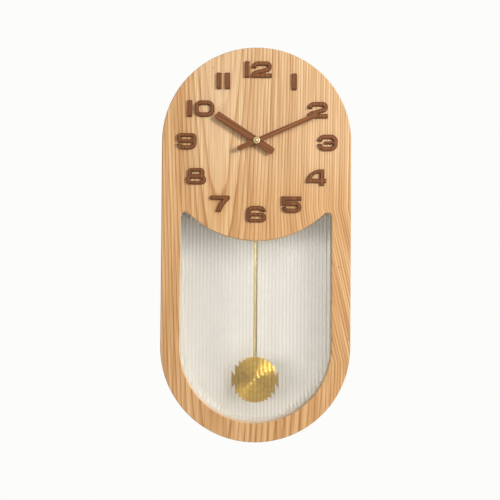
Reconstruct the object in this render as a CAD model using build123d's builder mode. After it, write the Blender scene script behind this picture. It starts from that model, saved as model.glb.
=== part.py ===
from build123d import *
from collections import namedtuple
from math import acos, ceil, cos, pi, radians, sin, tan
import os

# Pendulum wall clock: a wooden dial board with a fluted window, wooden numerals and hands,
# a quartz movement with its gear train, and a brass pendulum that swings behind the window.
# Millimetres. +Z is up, the dial faces -Y and the wall is the plane y = 0.
# The origin is the keyhole of the wall hanger. A height is a distance out from the wall.

# Case and dial board
CASE_WIDTH = 220.0
CASE_HEIGHT = 458.0
FRAME_DEPTH = 34.0
FRAME_WALL = 20.0
BOARD_THICK = 18.0
EDGE_ROUND = 1.2
BACK_EDGE_CHAMFER = 1.0
KEYHOLE_DROP = 16.0
HANGER_RAIL = 24.0

# Window and fluted glass
WINDOW_BORDER = 22.2
DIAL_OVERHANG = 27.4
WINDOW_CORNER = 5.0
GLASS_LEDGE = 6.0
GLASS_THICK = 5.0
GLASS_GAP = 0.3
GLASS_SEAT = 0.1
FLUTE_PITCH = 4.25
FLUTE_RISE = 0.65

# Clips that hold the top edge of the glass
CLIP_WIDTH = 10.0
CLIP_LENGTH = 24.0
CLIP_THICK = 1.2
CLIP_BEARING = 27.0
CLIP_SHY = 2.0

# Back panel
PANEL_THICK = 4.0
PANEL_LEDGE = 8.0
PANEL_GAP = 0.3
ACCESS_WIDTH = 66.0
ACCESS_ABOVE = 32.0
ACCESS_BELOW = 94.0
ACCESS_CORNER = 6.0

# Wall hanger plate with a keyhole
HANGER_WIDTH = 38.0
HANGER_TALL = 20.0
HANGER_RISE = 2.0
HANGER_THICK = 2.0
HANGER_GAP = 0.2
KEYHOLE_RADIUS = 4.5
KEYHOLE_SLOT = 4.0
KEYHOLE_TRAVEL = 7.0
KEYHOLE_POCKET = 8.0
KEYHOLE_ROOM = 1.5
HANGER_SCREW_X = 13.5

# Numerals
NUMERAL_RING = 82.5
NUMERAL_THICK = 3.0
NUMERAL_EDGE = 0.4
DIGIT_WIDTH = 23.0
DIGIT_TALL = 18.8
STROKE = 4.8
ONE_WIDTH = 5.6
PAIR_GAP = 2.6
ELEVEN_GAP = 4.2

# Hands, measured from the hand axis
HOUR_REACH = 55.8
HOUR_TAIL = 22.9
HOUR_TIP_WIDTH = 8.8
HOUR_TAIL_WIDTH = 8.2
HOUR_ANGLE = 303.2
MINUTE_REACH = 76.3
MINUTE_TAIL = 23.9
MINUTE_TIP_WIDTH = 4.9
MINUTE_TAIL_WIDTH = 5.4
MINUTE_ANGLE = 66.4
HAND_THICK = 1.6
HAND_CORNER = 1.8
HAND_EDGE = 0.35
HOUR_HAND_LIFT = 5.2
HAND_SPACING = 1.3
HAND_BUSH_WALL = 0.55
HAND_BUSH_FLANGE = 0.8
HAND_BUSH_RIM = 0.6
CAP_RADIUS = 3.9
CAP_RIM = 1.6
CAP_DOME_RADIUS = 2.3
CAP_TALL = 3.0

# Quartz movement case, measured from the hand axis
MOVEMENT_WIDTH = 56.0
MOVEMENT_ABOVE = 28.0
MOVEMENT_BELOW = 80.0
MOVEMENT_DEPTH = 16.0
MOVEMENT_SUNK = 12.0
MOVEMENT_CORNER = 3.0
SHELL_WALL = 1.2
COVER_THICK = 1.2
POCKET_GAP = 0.5
GASKET_THICK = 0.8
GASKET_RADIUS = 9.0
BUSH_RADIUS = 4.0
BUSH_FLANGE_RADIUS = 6.0
BUSH_FLANGE_THICK = 0.6
BUSH_SETBACK = 0.5
LUG_WIDTH = 11.0
LUG_REACH = 9.0
LUG_THICK = 2.0
LUG_DROP = 50.0

# Train: teeth, modules and where each arbor stands
CANNON_TEETH = 12
MINUTE_WHEEL_TEETH = 36
MINUTE_PINION_TEETH = 10
HOUR_WHEEL_TEETH = 40
CENTER_WHEEL_TEETH = 64
THIRD_PINION_TEETH = 8
THIRD_WHEEL_TEETH = 60
SECONDS_PINION_TEETH = 8
SECONDS_WHEEL_TEETH = 50
INTERMEDIATE_PINION_TEETH = 10
INTERMEDIATE_WHEEL_TEETH = 48
ROTOR_PINION_TEETH = 8
CANNON_MODULE = 0.5
THIRD_MODULE = 0.34
INTERMEDIATE_MODULE = 0.4
ROTOR_MODULE = 0.25
MINUTE_BEARING = 180.0
THIRD_BEARING = 60.0
INTERMEDIATE_BEARING = 120.0
ROTOR_BEARING = 150.0
PRESSURE_ANGLE = radians(20)
ADDENDUM = 0.8
ROOT_CLEARANCE = 0.25
PROFILE_SHIFT = 0.4
TOOTH_THINNING = 0.1
WHEEL_THICK = 1.0
PINION_OVERHANG = 0.2
FIRST_LAYER = 2.0
LAYER_STEP = 2.0
HOUR_PIPE_RADIUS = 2.5
CENTER_ARBOR_RADIUS = 1.5
HAND_THREAD_RADIUS = 1.2
ARBOR_RADIUS = 0.5
MINUTE_ARBOR_RADIUS = 0.6
PIVOT_DEPTH = 0.7
RUNNING_FIT = 0.05
FIXED_FIT = 0.02
END_PLAY = 0.1

# Stepping motor, circuit and battery
MAGNET_RADIUS = 2.5
MAGNET_LONG = 2.6
STATOR_THICK = 1.0
STATOR_AIR = 0.5
STATOR_BAR = 2.0
STATOR_GAP = 0.6
STATOR_RIGHT = -7.4
STATOR_TOP = 23.3
STATOR_YOKE_TOP = 18.2
STATOR_BOTTOM = 9.6
COIL_RADIUS = 3.5
COIL_FLANGE = 0.8
COIL_NECK = 0.5
BOARD_WIDTH = 8.0
BOARD_TALL = 23.0
BOARD_GAP = 0.8
BOARD_FOOT = 2.5
CIRCUIT_THICK = 1.0
CIRCUIT_DEPTH = 10.0
CRYSTAL_RADIUS = 1.0
CRYSTAL_LONG = 6.0
POST_RADIUS = 1.2
BATTERY_RADIUS = 7.25
CONTACT_ROOM = 1.55
BATTERY_NUB_RADIUS = 2.75
BATTERY_NUB_LONG = 1.0
BATTERY_DROP = 21.0
BAY_GAP = 0.35
BAY_WALL = 1.0
CONTACT_THICK = 0.5
CONTACT_SIZE = 10.0
CONTACT_BUMP_RADIUS = 2.0
KNOB_RADIUS = 5.0
KNOB_LONG = 4.0
KNOB_GRIPS = 10
KNOB_GRIP_RADIUS = 0.8
KNOB_LIFT = 0.3

# Pendulum, hung behind the movement
PIVOT_DROP = 38.0
PIVOT_RADIUS = 1.0
PIVOT_BOSS_RADIUS = 2.2
PIVOT_HEAD_RADIUS = 2.2
PIVOT_HEAD_THICK = 1.0
HANGER_ARM_HEIGHT = 23.2
HANGER_ARM_THICK = 2.0
HANGER_ARM_WIDTH = 8.0
HANGER_EYE_RADIUS = 5.0
HOOK_DROP = 88.0
STUD_RADIUS = 1.2
STUD_HEAD_RADIUS = 2.2
STUD_HEAD_THICK = 0.9
COIL_DROP = 62.0
DRIVE_COIL_RADIUS = 8.0
DRIVE_COIL_BORE = 3.0
DRIVE_COIL_THICK = 4.0
DRIVE_MAGNET_RADIUS = 4.0
DRIVE_MAGNET_AIR = 0.6
ROD_RADIUS = 2.2
ROD_EYE_RADIUS = 3.6
ROD_EYE_THICK = 3.4
BOB_RADIUS = 27.0
BOB_RIM = 1.4
BOB_CROWN = 1.1
BOB_BELOW = 41.5
BOB_CLIP_WIDTH = 9.0
BOB_CLIP_TALL = 12.0
BOB_CLIP_COVER = 1.0
ROD_PAST_CLIP = 4.0

# Fasteners
PANEL_SCREW_LONG = 14.0
PANEL_SCREW_SHANK = 1.4
PANEL_SCREW_HEAD = 3.0
FRAME_SCREW_BITE = 12.0
FRAME_SCREW_SINK = 6.0
FRAME_SCREW_SHANK = 2.0
FRAME_SCREW_HEAD = 3.8
FRAME_SCREW_INSET = 6.0
SMALL_SCREW_SHANK = 1.3
SMALL_SCREW_HEAD = 2.6
SMALL_SCREW_HEAD_TALL = 1.6
SMALL_SCREW_BITE = 9.0
COVER_SCREW_SHANK = 0.9
COVER_SCREW_HEAD = 1.8
COVER_SCREW_HEAD_TALL = 1.0
COVER_SCREW_LONG = 8.0
SCREW_POST_RADIUS = 2.2
SCREW_HOLE_GAP = 0.1

# Places worked out from the sizes above
CASE_RADIUS = CASE_WIDTH / 2
HAND_Z = KEYHOLE_DROP - CASE_RADIUS
LOWER_Z = HAND_Z - (CASE_HEIGHT - CASE_WIDTH)
MIDDLE_Z = (HAND_Z + LOWER_Z) / 2
INNER_RADIUS = CASE_RADIUS - FRAME_WALL
WINDOW_RADIUS = CASE_RADIUS - WINDOW_BORDER
DIAL_RADIUS = WINDOW_RADIUS + DIAL_OVERHANG
DIAL_HEIGHT = FRAME_DEPTH + BOARD_THICK
MOVEMENT_FRONT = FRAME_DEPTH + MOVEMENT_SUNK
MOVEMENT_BACK = MOVEMENT_FRONT - MOVEMENT_DEPTH
COVER_DEPTH = MOVEMENT_DEPTH - COVER_THICK
HOUR_HAND_HEIGHT = DIAL_HEIGHT + HOUR_HAND_LIFT
MINUTE_HAND_HEIGHT = HOUR_HAND_HEIGHT + HAND_THICK + HAND_SPACING
CAP_HEIGHT = MINUTE_HAND_HEIGHT + HAND_THICK
SHELL_INSIDE = MOVEMENT_WIDTH / 2 - SHELL_WALL
BATTERY_LONG = 2 * (SHELL_INSIDE - CONTACT_ROOM)
BATTERY_DEPTH = SHELL_WALL + END_PLAY + BATTERY_RADIUS
BAY_HALF = BATTERY_RADIUS + BAY_GAP
BAY_TOP = BAY_HALF + BAY_WALL - BATTERY_DROP
STATOR_LEFT = STATOR_GAP - SHELL_INSIDE
BOARD_LEFT = SHELL_INSIDE - BOARD_GAP - BOARD_WIDTH
ROD_HEIGHT = HANGER_ARM_HEIGHT - END_PLAY - ROD_RADIUS
BOB_HEIGHT = ROD_HEIGHT + ROD_RADIUS
BOB_Z = LOWER_Z - BOB_BELOW

Gear = namedtuple("Gear", "teeth module shift")


def meshing_distance(module, wheel_teeth, pinion_teeth):
    """Distance between two arbors whose gears share this module."""
    return module * (wheel_teeth + pinion_teeth) / 2


def module_for(distance, wheel_teeth, pinion_teeth):
    """Module that makes two gears meet at this distance."""
    return 2 * distance / (wheel_teeth + pinion_teeth)


def step_from(place, distance, bearing):
    """The place at this distance and bearing, counted anticlockwise from +X as seen on the dial."""
    return (
        place[0] + distance * cos(radians(bearing)),
        place[1] + distance * sin(radians(bearing)),
    )


MINUTE_DISTANCE = meshing_distance(CANNON_MODULE, MINUTE_WHEEL_TEETH, CANNON_TEETH)
THIRD_DISTANCE = meshing_distance(THIRD_MODULE, CENTER_WHEEL_TEETH, THIRD_PINION_TEETH)
INTERMEDIATE_DISTANCE = meshing_distance(
    INTERMEDIATE_MODULE, SECONDS_WHEEL_TEETH, INTERMEDIATE_PINION_TEETH
)
ROTOR_DISTANCE = meshing_distance(ROTOR_MODULE, INTERMEDIATE_WHEEL_TEETH, ROTOR_PINION_TEETH)
HOUR_MODULE = module_for(MINUTE_DISTANCE, HOUR_WHEEL_TEETH, MINUTE_PINION_TEETH)
SECONDS_MODULE = module_for(THIRD_DISTANCE, THIRD_WHEEL_TEETH, SECONDS_PINION_TEETH)

CENTER = (0.0, 0.0)
MINUTE_PLACE = step_from(CENTER, MINUTE_DISTANCE, MINUTE_BEARING)
THIRD_PLACE = step_from(CENTER, THIRD_DISTANCE, THIRD_BEARING)
INTERMEDIATE_PLACE = step_from(CENTER, INTERMEDIATE_DISTANCE, INTERMEDIATE_BEARING)
ROTOR_PLACE = step_from(INTERMEDIATE_PLACE, ROTOR_DISTANCE, ROTOR_BEARING)

CANNON_PINION = Gear(CANNON_TEETH, CANNON_MODULE, PROFILE_SHIFT)
MINUTE_WHEEL = Gear(MINUTE_WHEEL_TEETH, CANNON_MODULE, -PROFILE_SHIFT)
MINUTE_PINION = Gear(MINUTE_PINION_TEETH, HOUR_MODULE, PROFILE_SHIFT)
HOUR_WHEEL = Gear(HOUR_WHEEL_TEETH, HOUR_MODULE, -PROFILE_SHIFT)
CENTER_WHEEL = Gear(CENTER_WHEEL_TEETH, THIRD_MODULE, -PROFILE_SHIFT)
THIRD_PINION = Gear(THIRD_PINION_TEETH, THIRD_MODULE, PROFILE_SHIFT)
THIRD_WHEEL = Gear(THIRD_WHEEL_TEETH, SECONDS_MODULE, -PROFILE_SHIFT)
SECONDS_PINION = Gear(SECONDS_PINION_TEETH, SECONDS_MODULE, PROFILE_SHIFT)
SECONDS_WHEEL = Gear(SECONDS_WHEEL_TEETH, INTERMEDIATE_MODULE, -PROFILE_SHIFT)
INTERMEDIATE_PINION = Gear(INTERMEDIATE_PINION_TEETH, INTERMEDIATE_MODULE, PROFILE_SHIFT)
INTERMEDIATE_WHEEL = Gear(INTERMEDIATE_WHEEL_TEETH, ROTOR_MODULE, -PROFILE_SHIFT)
ROTOR_PINION = Gear(ROTOR_PINION_TEETH, ROTOR_MODULE, PROFILE_SHIFT)

# Depth of each wheel's front face behind the movement's front: one layer for each stage
HOUR_LAYER = FIRST_LAYER
MINUTE_LAYER = HOUR_LAYER + LAYER_STEP
CENTER_LAYER = MINUTE_LAYER + LAYER_STEP
THIRD_LAYER = CENTER_LAYER + LAYER_STEP
SECONDS_LAYER = THIRD_LAYER + LAYER_STEP
INTERMEDIATE_LAYER = SECONDS_LAYER + LAYER_STEP

STATOR_DEPTH = CENTER_LAYER + WHEEL_THICK
COIL_Z = STATOR_TOP - STATOR_BAR / 2
CIRCUIT_CENTER = (BOARD_LEFT + BOARD_WIDTH / 2, BOARD_FOOT + BOARD_TALL / 2)
CIRCUIT_POSTS = [
    (CIRCUIT_CENTER[0], BOARD_FOOT + POST_RADIUS + 1),
    (CIRCUIT_CENTER[0] + 2, BOARD_FOOT + BOARD_TALL - POST_RADIUS - 1),
]
STATOR_POSTS = [
    (STATOR_LEFT + 4, STATOR_BOTTOM + 2.5),
    (STATOR_RIGHT - STATOR_BAR / 2, STATOR_YOKE_TOP - POST_RADIUS),
]

SIDE_INSET = (MOVEMENT_WIDTH - SHELL_WALL) / 2 - SCREW_POST_RADIUS
UPPER_INSET = BAY_TOP + SCREW_POST_RADIUS - BAY_WALL / 2
FOOT_INSET = SHELL_WALL / 2 + SCREW_POST_RADIUS - MOVEMENT_BELOW
COVER_SCREW_PLACES = [
    (side * SIDE_INSET, z) for side in (-1, 1) for z in (UPPER_INSET, FOOT_INSET)
]
LUG_SCREW_X = MOVEMENT_WIDTH / 2 + LUG_REACH - LUG_WIDTH / 2
LUG_PLACES = [(-LUG_SCREW_X, HAND_Z - LUG_DROP), (LUG_SCREW_X, HAND_Z - LUG_DROP)]

PANEL_SCREW_X = INNER_RADIUS + PANEL_LEDGE / 2
PANEL_SCREW_PLACES = [
    (-PANEL_SCREW_X, HAND_Z),
    (PANEL_SCREW_X, HAND_Z),
    (-PANEL_SCREW_X, LOWER_Z),
    (PANEL_SCREW_X, LOWER_Z),
    (0, LOWER_Z - PANEL_SCREW_X),
    (0, PANEL_LEDGE / 2 - HANGER_RAIL),
]
FRAME_SCREW_X = CASE_RADIUS - FRAME_SCREW_INSET
FRAME_SCREW_PLACES = [
    (side * FRAME_SCREW_X, z) for side in (-1, 1) for z in (HAND_Z, LOWER_Z)
]
HANGER_SCREW_PLACES = [(-HANGER_SCREW_X, HANGER_RISE), (HANGER_SCREW_X, HANGER_RISE)]
CLIP_RADIUS = DIAL_RADIUS - CLIP_SHY - CLIP_LENGTH / 2
CLIP_BEARINGS = [-90 - CLIP_BEARING, -90 + CLIP_BEARING]
CLIP_SCREW_PLACES = [
    step_from((0, HAND_Z), CLIP_RADIUS - CLIP_LENGTH / 4, bearing) for bearing in CLIP_BEARINGS
]


def facing(height, x=0.0, z=0.0, turn=0.0):
    """Plane at this height, looking out from the wall, turned anticlockwise in degrees."""
    right = (cos(radians(turn)), 0, sin(radians(turn)))
    return Plane(origin=(x, -height, z), x_dir=right, z_dir=(0, -1, 0))


def backing(height, x=0.0, z=0.0):
    """Plane at this height, looking towards the wall."""
    return Plane(origin=(x, -height, z), x_dir=(-1, 0, 0), z_dir=(0, 1, 0))


def backing_each(height, places):
    """One plane looking towards the wall at each place."""
    return [backing(height, x, z) for x, z in places]


def train_plane(depth, place=CENTER):
    """Plane at this depth behind the movement's front, centred on an arbor."""
    return facing(MOVEMENT_FRONT - depth, place[0], HAND_Z + place[1])


def save(builder, name):
    """Name a finished piece and write it to its own file."""
    builder.part.label = name
    export_step(builder.part, f"parts/{name}.step")


def stadium(radius):
    """Outline with straight sides and a half circle of this radius at each end."""
    with Locations((0, MIDDLE_Z)):
        SlotCenterToCenter(CASE_HEIGHT - CASE_WIDTH, 2 * radius, rotation=90)


def window_sketch(height, grow):
    """The window's outline: the round-ended opening below the dial's lower edge."""
    with BuildSketch(facing(height)) as outline:
        stadium(WINDOW_RADIUS + grow)
        with Locations((0, HAND_Z)):
            Circle(DIAL_RADIUS - grow, mode=Mode.SUBTRACT)
        fillet(outline.vertices().group_by(Axis.Y)[-1], WINDOW_CORNER)
    return outline.sketch


def cavity_sketch(height, grow):
    """The frame's inner outline, flat below the rail that carries the hanger."""
    with BuildSketch(facing(height)) as outline:
        stadium(INNER_RADIUS + grow)
        with Locations((0, grow - HANGER_RAIL)):
            Rectangle(
                CASE_WIDTH,
                CASE_WIDTH,
                align=(Align.CENTER, Align.MIN),
                mode=Mode.SUBTRACT,
            )
    return outline.sketch


def movement_outline(grow):
    """The movement case's rounded outline, drawn from the hand axis."""
    with Locations((0, (MOVEMENT_ABOVE - MOVEMENT_BELOW) / 2)):
        RectangleRounded(
            MOVEMENT_WIDTH + 2 * grow,
            MOVEMENT_ABOVE + MOVEMENT_BELOW + 2 * grow,
            MOVEMENT_CORNER + grow,
        )


def disc(plane, radius, thick, mode=Mode.ADD):
    """Round disc, or hole, that grows from the plane."""
    with BuildSketch(plane) as outline:
        Circle(radius)
    extrude(outline.sketch, amount=thick, mode=mode)


def bars(plane, width, tall, thick, mode=Mode.ADD):
    """Rectangular block centred on the plane that grows from it."""
    with BuildSketch(plane) as outline:
        Rectangle(width, tall)
    extrude(outline.sketch, amount=thick, mode=mode)


def holes(planes, radius, depth):
    """Straight holes sunk into each plane."""
    with Locations(*planes):
        Hole(radius, depth)


def countersunk_screw(head, shank, length):
    """Screw with a flat conical head, its top on the plane and its point below."""
    with BuildPart() as screw:
        with BuildSketch(Plane.XZ):
            with BuildLine():
                Polyline(
                    (0, 0),
                    (head, 0),
                    (shank, shank - head),
                    (shank, 2 * shank - length),
                    (0, -length),
                    close=True,
                )
            make_face()
        revolve(axis=Axis.Z)
    return screw.part


def pan_screw(head, head_tall, shank, length):
    """Screw with a rounded head that sits on the plane and its point below."""
    with BuildPart() as screw:
        with BuildSketch(Plane.XZ):
            with BuildLine():
                Polyline(
                    (0, head_tall),
                    (0.6 * head, head_tall),
                    (head, 0.4 * head_tall),
                    (head, 0),
                    (shank, 0),
                    (shank, 2 * shank - length),
                    (0, -length),
                    close=True,
                )
            make_face()
        revolve(axis=Axis.Z)
    return screw.part


def screw_group(name, screw, planes):
    """Write one node that holds the same screw at each plane."""
    with BuildPart() as group:
        with Locations(*planes):
            add(screw)
    save(group, name)


def polar(radius, angle):
    """Point at this radius and angle in radians."""
    return (radius * cos(angle), radius * sin(angle))


def involute(angle):
    """Involute function of a pressure angle."""
    return tan(angle) - angle


def tip_radius(gear):
    """Outside radius of a gear."""
    return gear.module * (gear.teeth / 2 + ADDENDUM + gear.shift)


def gear_face(gear, phase):
    """Involute outline of a gear with one tooth centred on the phase angle, in radians."""
    pitch_radius = gear.module * gear.teeth / 2
    base_radius = pitch_radius * cos(PRESSURE_ANGLE)
    tip = tip_radius(gear)
    root = tip - gear.module * (2 * ADDENDUM + ROOT_CLEARANCE)
    foot = max(base_radius, root)
    thickness = pi / 2 + 2 * gear.shift * tan(PRESSURE_ANGLE) - TOOTH_THINNING / 2
    half_tooth = thickness / gear.teeth

    def flank(radius):
        """Half the angle that a tooth takes up at this radius."""
        return half_tooth + involute(PRESSURE_ANGLE) - involute(acos(base_radius / radius))

    middle = (foot + tip) / 2
    pinion = gear.shift > 0
    with BuildLine() as outline:
        corners = []
        for tooth in range(gear.teeth):
            center = phase + tooth * 2 * pi / gear.teeth
            left = [polar(r, center - flank(r)) for r in (foot, middle, tip)]
            right = [polar(r, center + flank(r)) for r in (tip, middle, foot)]
            start = polar(root, center - flank(foot))
            end = polar(root, center + flank(foot))
            if not pinion:
                corners += [start, left[0], left[2], right[0], right[2], end]
                continue
            following = polar(root, center + 2 * pi / gear.teeth - flank(foot))
            Line(start, left[0])
            ThreePointArc(*left)
            Line(left[2], right[0])
            ThreePointArc(*right)
            Line(right[2], end)
            Line(end, following)
        if corners:
            distinct = [
                point
                for point, before in zip(corners, corners[-1:] + corners[:-1])
                if (Vector(*point) - Vector(*before)).length > 1e-6
            ]
            Polyline(*distinct, close=True)
    make_face(outline.edges())


def toothed(gear, place, depth, phase, overhang=0.0):
    """Add a gear whose front face is at this depth, standing past it by the overhang on both sides."""
    with BuildSketch(train_plane(depth + WHEEL_THICK + overhang, place)) as outline:
        gear_face(gear, phase)
    extrude(outline.sketch, amount=WHEEL_THICK + 2 * overhang)


def phase_in_mesh(driver, driver_phase, follower, bearing):
    """Phase that puts the follower's tooth gaps on the driver's teeth, along a bearing in degrees."""
    toward = radians(bearing)
    driver_pitch = 2 * pi / driver.teeth
    follower_pitch = 2 * pi / follower.teeth
    share = ((toward - driver_phase) / driver_pitch) % 1
    return toward + pi - follower_pitch * (0.5 - share)


def arbor(place, near, far, radius, mode=Mode.ADD):
    """Round arbor between two depths."""
    disc(train_plane(far, place), radius, far - near, mode)


def ring_face(width, tall, corner, wall):
    """Rounded ring with an even wall."""
    RectangleRounded(width, tall, corner)
    RectangleRounded(
        width - 2 * wall,
        tall - 2 * wall,
        max(corner - wall, wall / 4),
        mode=Mode.SUBTRACT,
    )


# Each digit is drawn about its own centre. Half widths and heights run to the stroke's middle line.
HALF_WIDE = (DIGIT_WIDTH - STROKE) / 2
HALF_TALL = (DIGIT_TALL - STROKE) / 2
DIGIT_ROUND = 0.42 * DIGIT_TALL
BOWL_TALL = 0.57 * DIGIT_TALL
BOWL_WALL = 0.8 * STROKE
BOWL_ROUND = 0.45 * BOWL_TALL
WAIST_ROUND = 0.05 * DIGIT_TALL
SHOULDER = 0.7 * HALF_TALL
BEND = 0.52 * HALF_TALL
SLANT = 15.0
SLANT_FOOT = 0.43 * HALF_TALL
HOOK_END = 0.09 * DIGIT_TALL
NOTCH_TALL = 0.17 * DIGIT_TALL


def draw_0():
    ring_face(DIGIT_WIDTH, DIGIT_TALL, DIGIT_ROUND, STROKE)


def draw_1():
    Rectangle(ONE_WIDTH, DIGIT_TALL)


def draw_2():
    with BuildLine() as stroke:
        hook = Line((-HALF_WIDE, HOOK_END), (-HALF_WIDE, HALF_TALL - SHOULDER))
        rise = JernArc(hook @ 1, hook % 1, SHOULDER, -90)
        top = Line(rise @ 1, (HALF_WIDE - BEND, HALF_TALL))
        bend = JernArc(top @ 1, top % 1, BEND, SLANT - 180)
        start = bend @ 1
        foot_x = SLANT_FOOT * (1 - sin(radians(SLANT))) - HALF_WIDE
        drop = (start.X - foot_x) * tan(radians(SLANT))
        slant = Line(start, (foot_x, start.Y - drop))
        foot = JernArc(slant @ 1, slant % 1, SLANT_FOOT, 90 - SLANT)
        Line(foot @ 1, (-HALF_WIDE, -HALF_TALL))
    trace(stroke.edges(), line_width=STROKE)
    with Locations((0, -HALF_TALL)):
        Rectangle(DIGIT_WIDTH, STROKE)


def draw_3():
    ring_face(DIGIT_WIDTH, DIGIT_TALL, DIGIT_ROUND, STROKE)
    with Locations((-HALF_WIDE, 0)):
        Rectangle(1.2 * STROKE, NOTCH_TALL, mode=Mode.SUBTRACT)
    with Locations((HALF_WIDE, 0)):
        Rectangle(
            0.55 * DIGIT_WIDTH,
            0.65 * STROKE,
            align=(Align.MAX, Align.CENTER),
        )


def draw_4():
    stem = 0.29 * DIGIT_WIDTH
    bar = -0.2 * DIGIT_TALL
    top = DIGIT_TALL / 2
    left = -DIGIT_WIDTH / 2
    half = STROKE / 2
    with BuildLine() as stroke:
        outside = ThreePointArc(
            (left, bar),
            (left + 0.2 * DIGIT_WIDTH, top - 0.26 * DIGIT_TALL),
            (stem - half, top),
        )
        Polyline(
            outside @ 1,
            (stem + half, top),
            (stem + half, bar - half),
            (left, bar - half),
            outside @ 0,
        )
    make_face(stroke.edges())
    with BuildLine() as stroke:
        inside = ThreePointArc(
            (left + 0.27 * DIGIT_WIDTH, bar + half),
            (left + 0.38 * DIGIT_WIDTH, top - 0.36 * DIGIT_TALL),
            (stem - half, top - 0.24 * DIGIT_TALL),
        )
        Polyline(inside @ 1, (stem - half, bar + half), inside @ 0)
    make_face(stroke.edges(), mode=Mode.SUBTRACT)
    with Locations((stem, bar)):
        Rectangle(STROKE, top + bar, align=(Align.CENTER, Align.MAX))
        Rectangle(DIGIT_WIDTH / 2 - stem, STROKE, align=(Align.MIN, Align.CENTER))


def draw_5():
    waist = 0.05 * DIGIT_TALL
    bowl = (waist + HALF_TALL) / 2
    with BuildLine() as stroke:
        middle = Line((-HALF_WIDE, waist), (HALF_WIDE - bowl, waist))
        belly = JernArc(middle @ 1, middle % 1, bowl, -180)
        base = Line(belly @ 1, (SHOULDER - HALF_WIDE, -HALF_TALL))
        JernArc(base @ 1, base % 1, SHOULDER, -80)
    trace(stroke.edges(), line_width=STROKE)
    with Locations((0, HALF_TALL)):
        Rectangle(DIGIT_WIDTH, STROKE)
    with Locations((-HALF_WIDE, HALF_TALL)):
        Rectangle(
            STROKE,
            HALF_TALL - waist + STROKE / 2,
            align=(Align.CENTER, Align.MAX),
        )


def draw_6():
    ring_face(DIGIT_WIDTH, DIGIT_TALL, DIGIT_ROUND, STROKE)
    with Locations((0, 0.15 * DIGIT_TALL)):
        Rectangle(
            DIGIT_WIDTH,
            DIGIT_TALL,
            align=(Align.MIN, Align.MAX),
            mode=Mode.SUBTRACT,
        )
    with Locations((0, (BOWL_TALL - DIGIT_TALL) / 2)):
        RectangleRounded(DIGIT_WIDTH, BOWL_TALL, BOWL_ROUND)
        RectangleRounded(
            DIGIT_WIDTH - 2 * STROKE,
            BOWL_TALL - 2 * BOWL_WALL,
            0.3 * (BOWL_TALL - 2 * BOWL_WALL),
            mode=Mode.SUBTRACT,
        )


def draw_7():
    with BuildLine() as stroke:
        ThreePointArc(
            (0.42 * DIGIT_WIDTH, 0.4 * DIGIT_TALL),
            (0.13 * DIGIT_WIDTH, 0),
            (-0.08 * DIGIT_WIDTH, -DIGIT_TALL / 2),
        )
    trace(stroke.edges(), line_width=1.15 * STROKE)
    Rectangle(DIGIT_WIDTH, DIGIT_TALL, mode=Mode.INTERSECT)
    with Locations((0, HALF_TALL)):
        RectangleRounded(DIGIT_WIDTH, STROKE, 0.45 * STROKE)


def draw_8():
    upper_width = 0.85 * DIGIT_WIDTH
    upper_center = (DIGIT_TALL - BOWL_TALL) / 2
    counter = BOWL_TALL - 2 * BOWL_WALL
    loops = ((upper_width, upper_center), (DIGIT_WIDTH, -upper_center))
    with BuildSketch() as figure:
        for width, center in loops:
            with Locations((0, center)):
                RectangleRounded(width, BOWL_TALL, BOWL_ROUND)
        waist = figure.vertices().sort_by(lambda corner: abs(corner.Y))[:2]
        fillet(waist, WAIST_ROUND)
        for width, center in loops:
            with Locations((0, center)):
                RectangleRounded(width - 2 * STROKE, counter, 0.35 * counter, mode=Mode.SUBTRACT)
    add(figure.sketch)


DRAW_DIGIT = {
    "0": draw_0,
    "1": draw_1,
    "2": draw_2,
    "3": draw_3,
    "4": draw_4,
    "5": draw_5,
    "6": draw_6,
    "7": draw_7,
    "8": draw_8,
    "9": draw_6,
}

# The numerals are glued on by eye, so most stand a little off the even ring, as (right, up).
NUMERAL_NUDGE = {
    1: (2.2, -1.7),
    2: (-0.7, -4.4),
    3: (-0.2, -1.0),
    4: (-2.2, -0.2),
    5: (-0.4, -1.5),
    6: (0, -1.6),
    7: (-0.9, -1.0),
    8: (1.5, 0.5),
    9: (1.3, -0.4),
    10: (6.5, -3.4),
    11: (2.2, -1.2),
    12: (1.4, 1.2),
}


def digit_shifts(text):
    """How far each digit of a numeral stands from the numeral's middle."""
    if len(text) == 1:
        return [0.0]
    second = ONE_WIDTH if text == "11" else DIGIT_WIDTH
    gap = ELEVEN_GAP if text == "11" else PAIR_GAP
    total = ONE_WIDTH + gap + second
    return [(ONE_WIDTH - total) / 2, (total - second) / 2]


def make_numeral(number):
    """Glued wooden numeral, with the edges of its face broken."""
    text = str(number)
    nudge = NUMERAL_NUDGE[number]
    x, z = step_from((nudge[0], HAND_Z + nudge[1]), NUMERAL_RING, 90 - 30 * number)
    with BuildPart() as numeral:
        for digit, shift in zip(text, digit_shifts(text)):
            turn = 180 if digit == "9" else 0
            with BuildSketch(facing(DIAL_HEIGHT, x + shift, z, turn)):
                DRAW_DIGIT[digit]()
        extrude(amount=NUMERAL_THICK)
        chamfer(numeral.faces().group_by(Axis.Y)[0].edges(), NUMERAL_EDGE)
    save(numeral, f"numeral_{number}")


def make_hand(name, height, angle, reach, tail, tip_width, tail_width, bore):
    """Flat wooden hand that points at an angle clockwise from twelve, with a bore for its bush."""
    plane = facing(height, 0, HAND_Z, -angle)
    with BuildPart() as hand:
        with BuildSketch(plane) as outline:
            with BuildLine():
                Polyline(
                    (-tail_width / 2, -tail),
                    (tail_width / 2, -tail),
                    (tip_width / 2, reach),
                    (-tip_width / 2, reach),
                    close=True,
                )
            make_face()
            fillet(outline.vertices(), HAND_CORNER)
        extrude(amount=HAND_THICK)
        chamfer(hand.faces().sort_by(Axis.Y)[0].edges(), HAND_EDGE)
        disc(plane, bore, HAND_THICK, Mode.SUBTRACT)
    save(hand, name)


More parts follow.
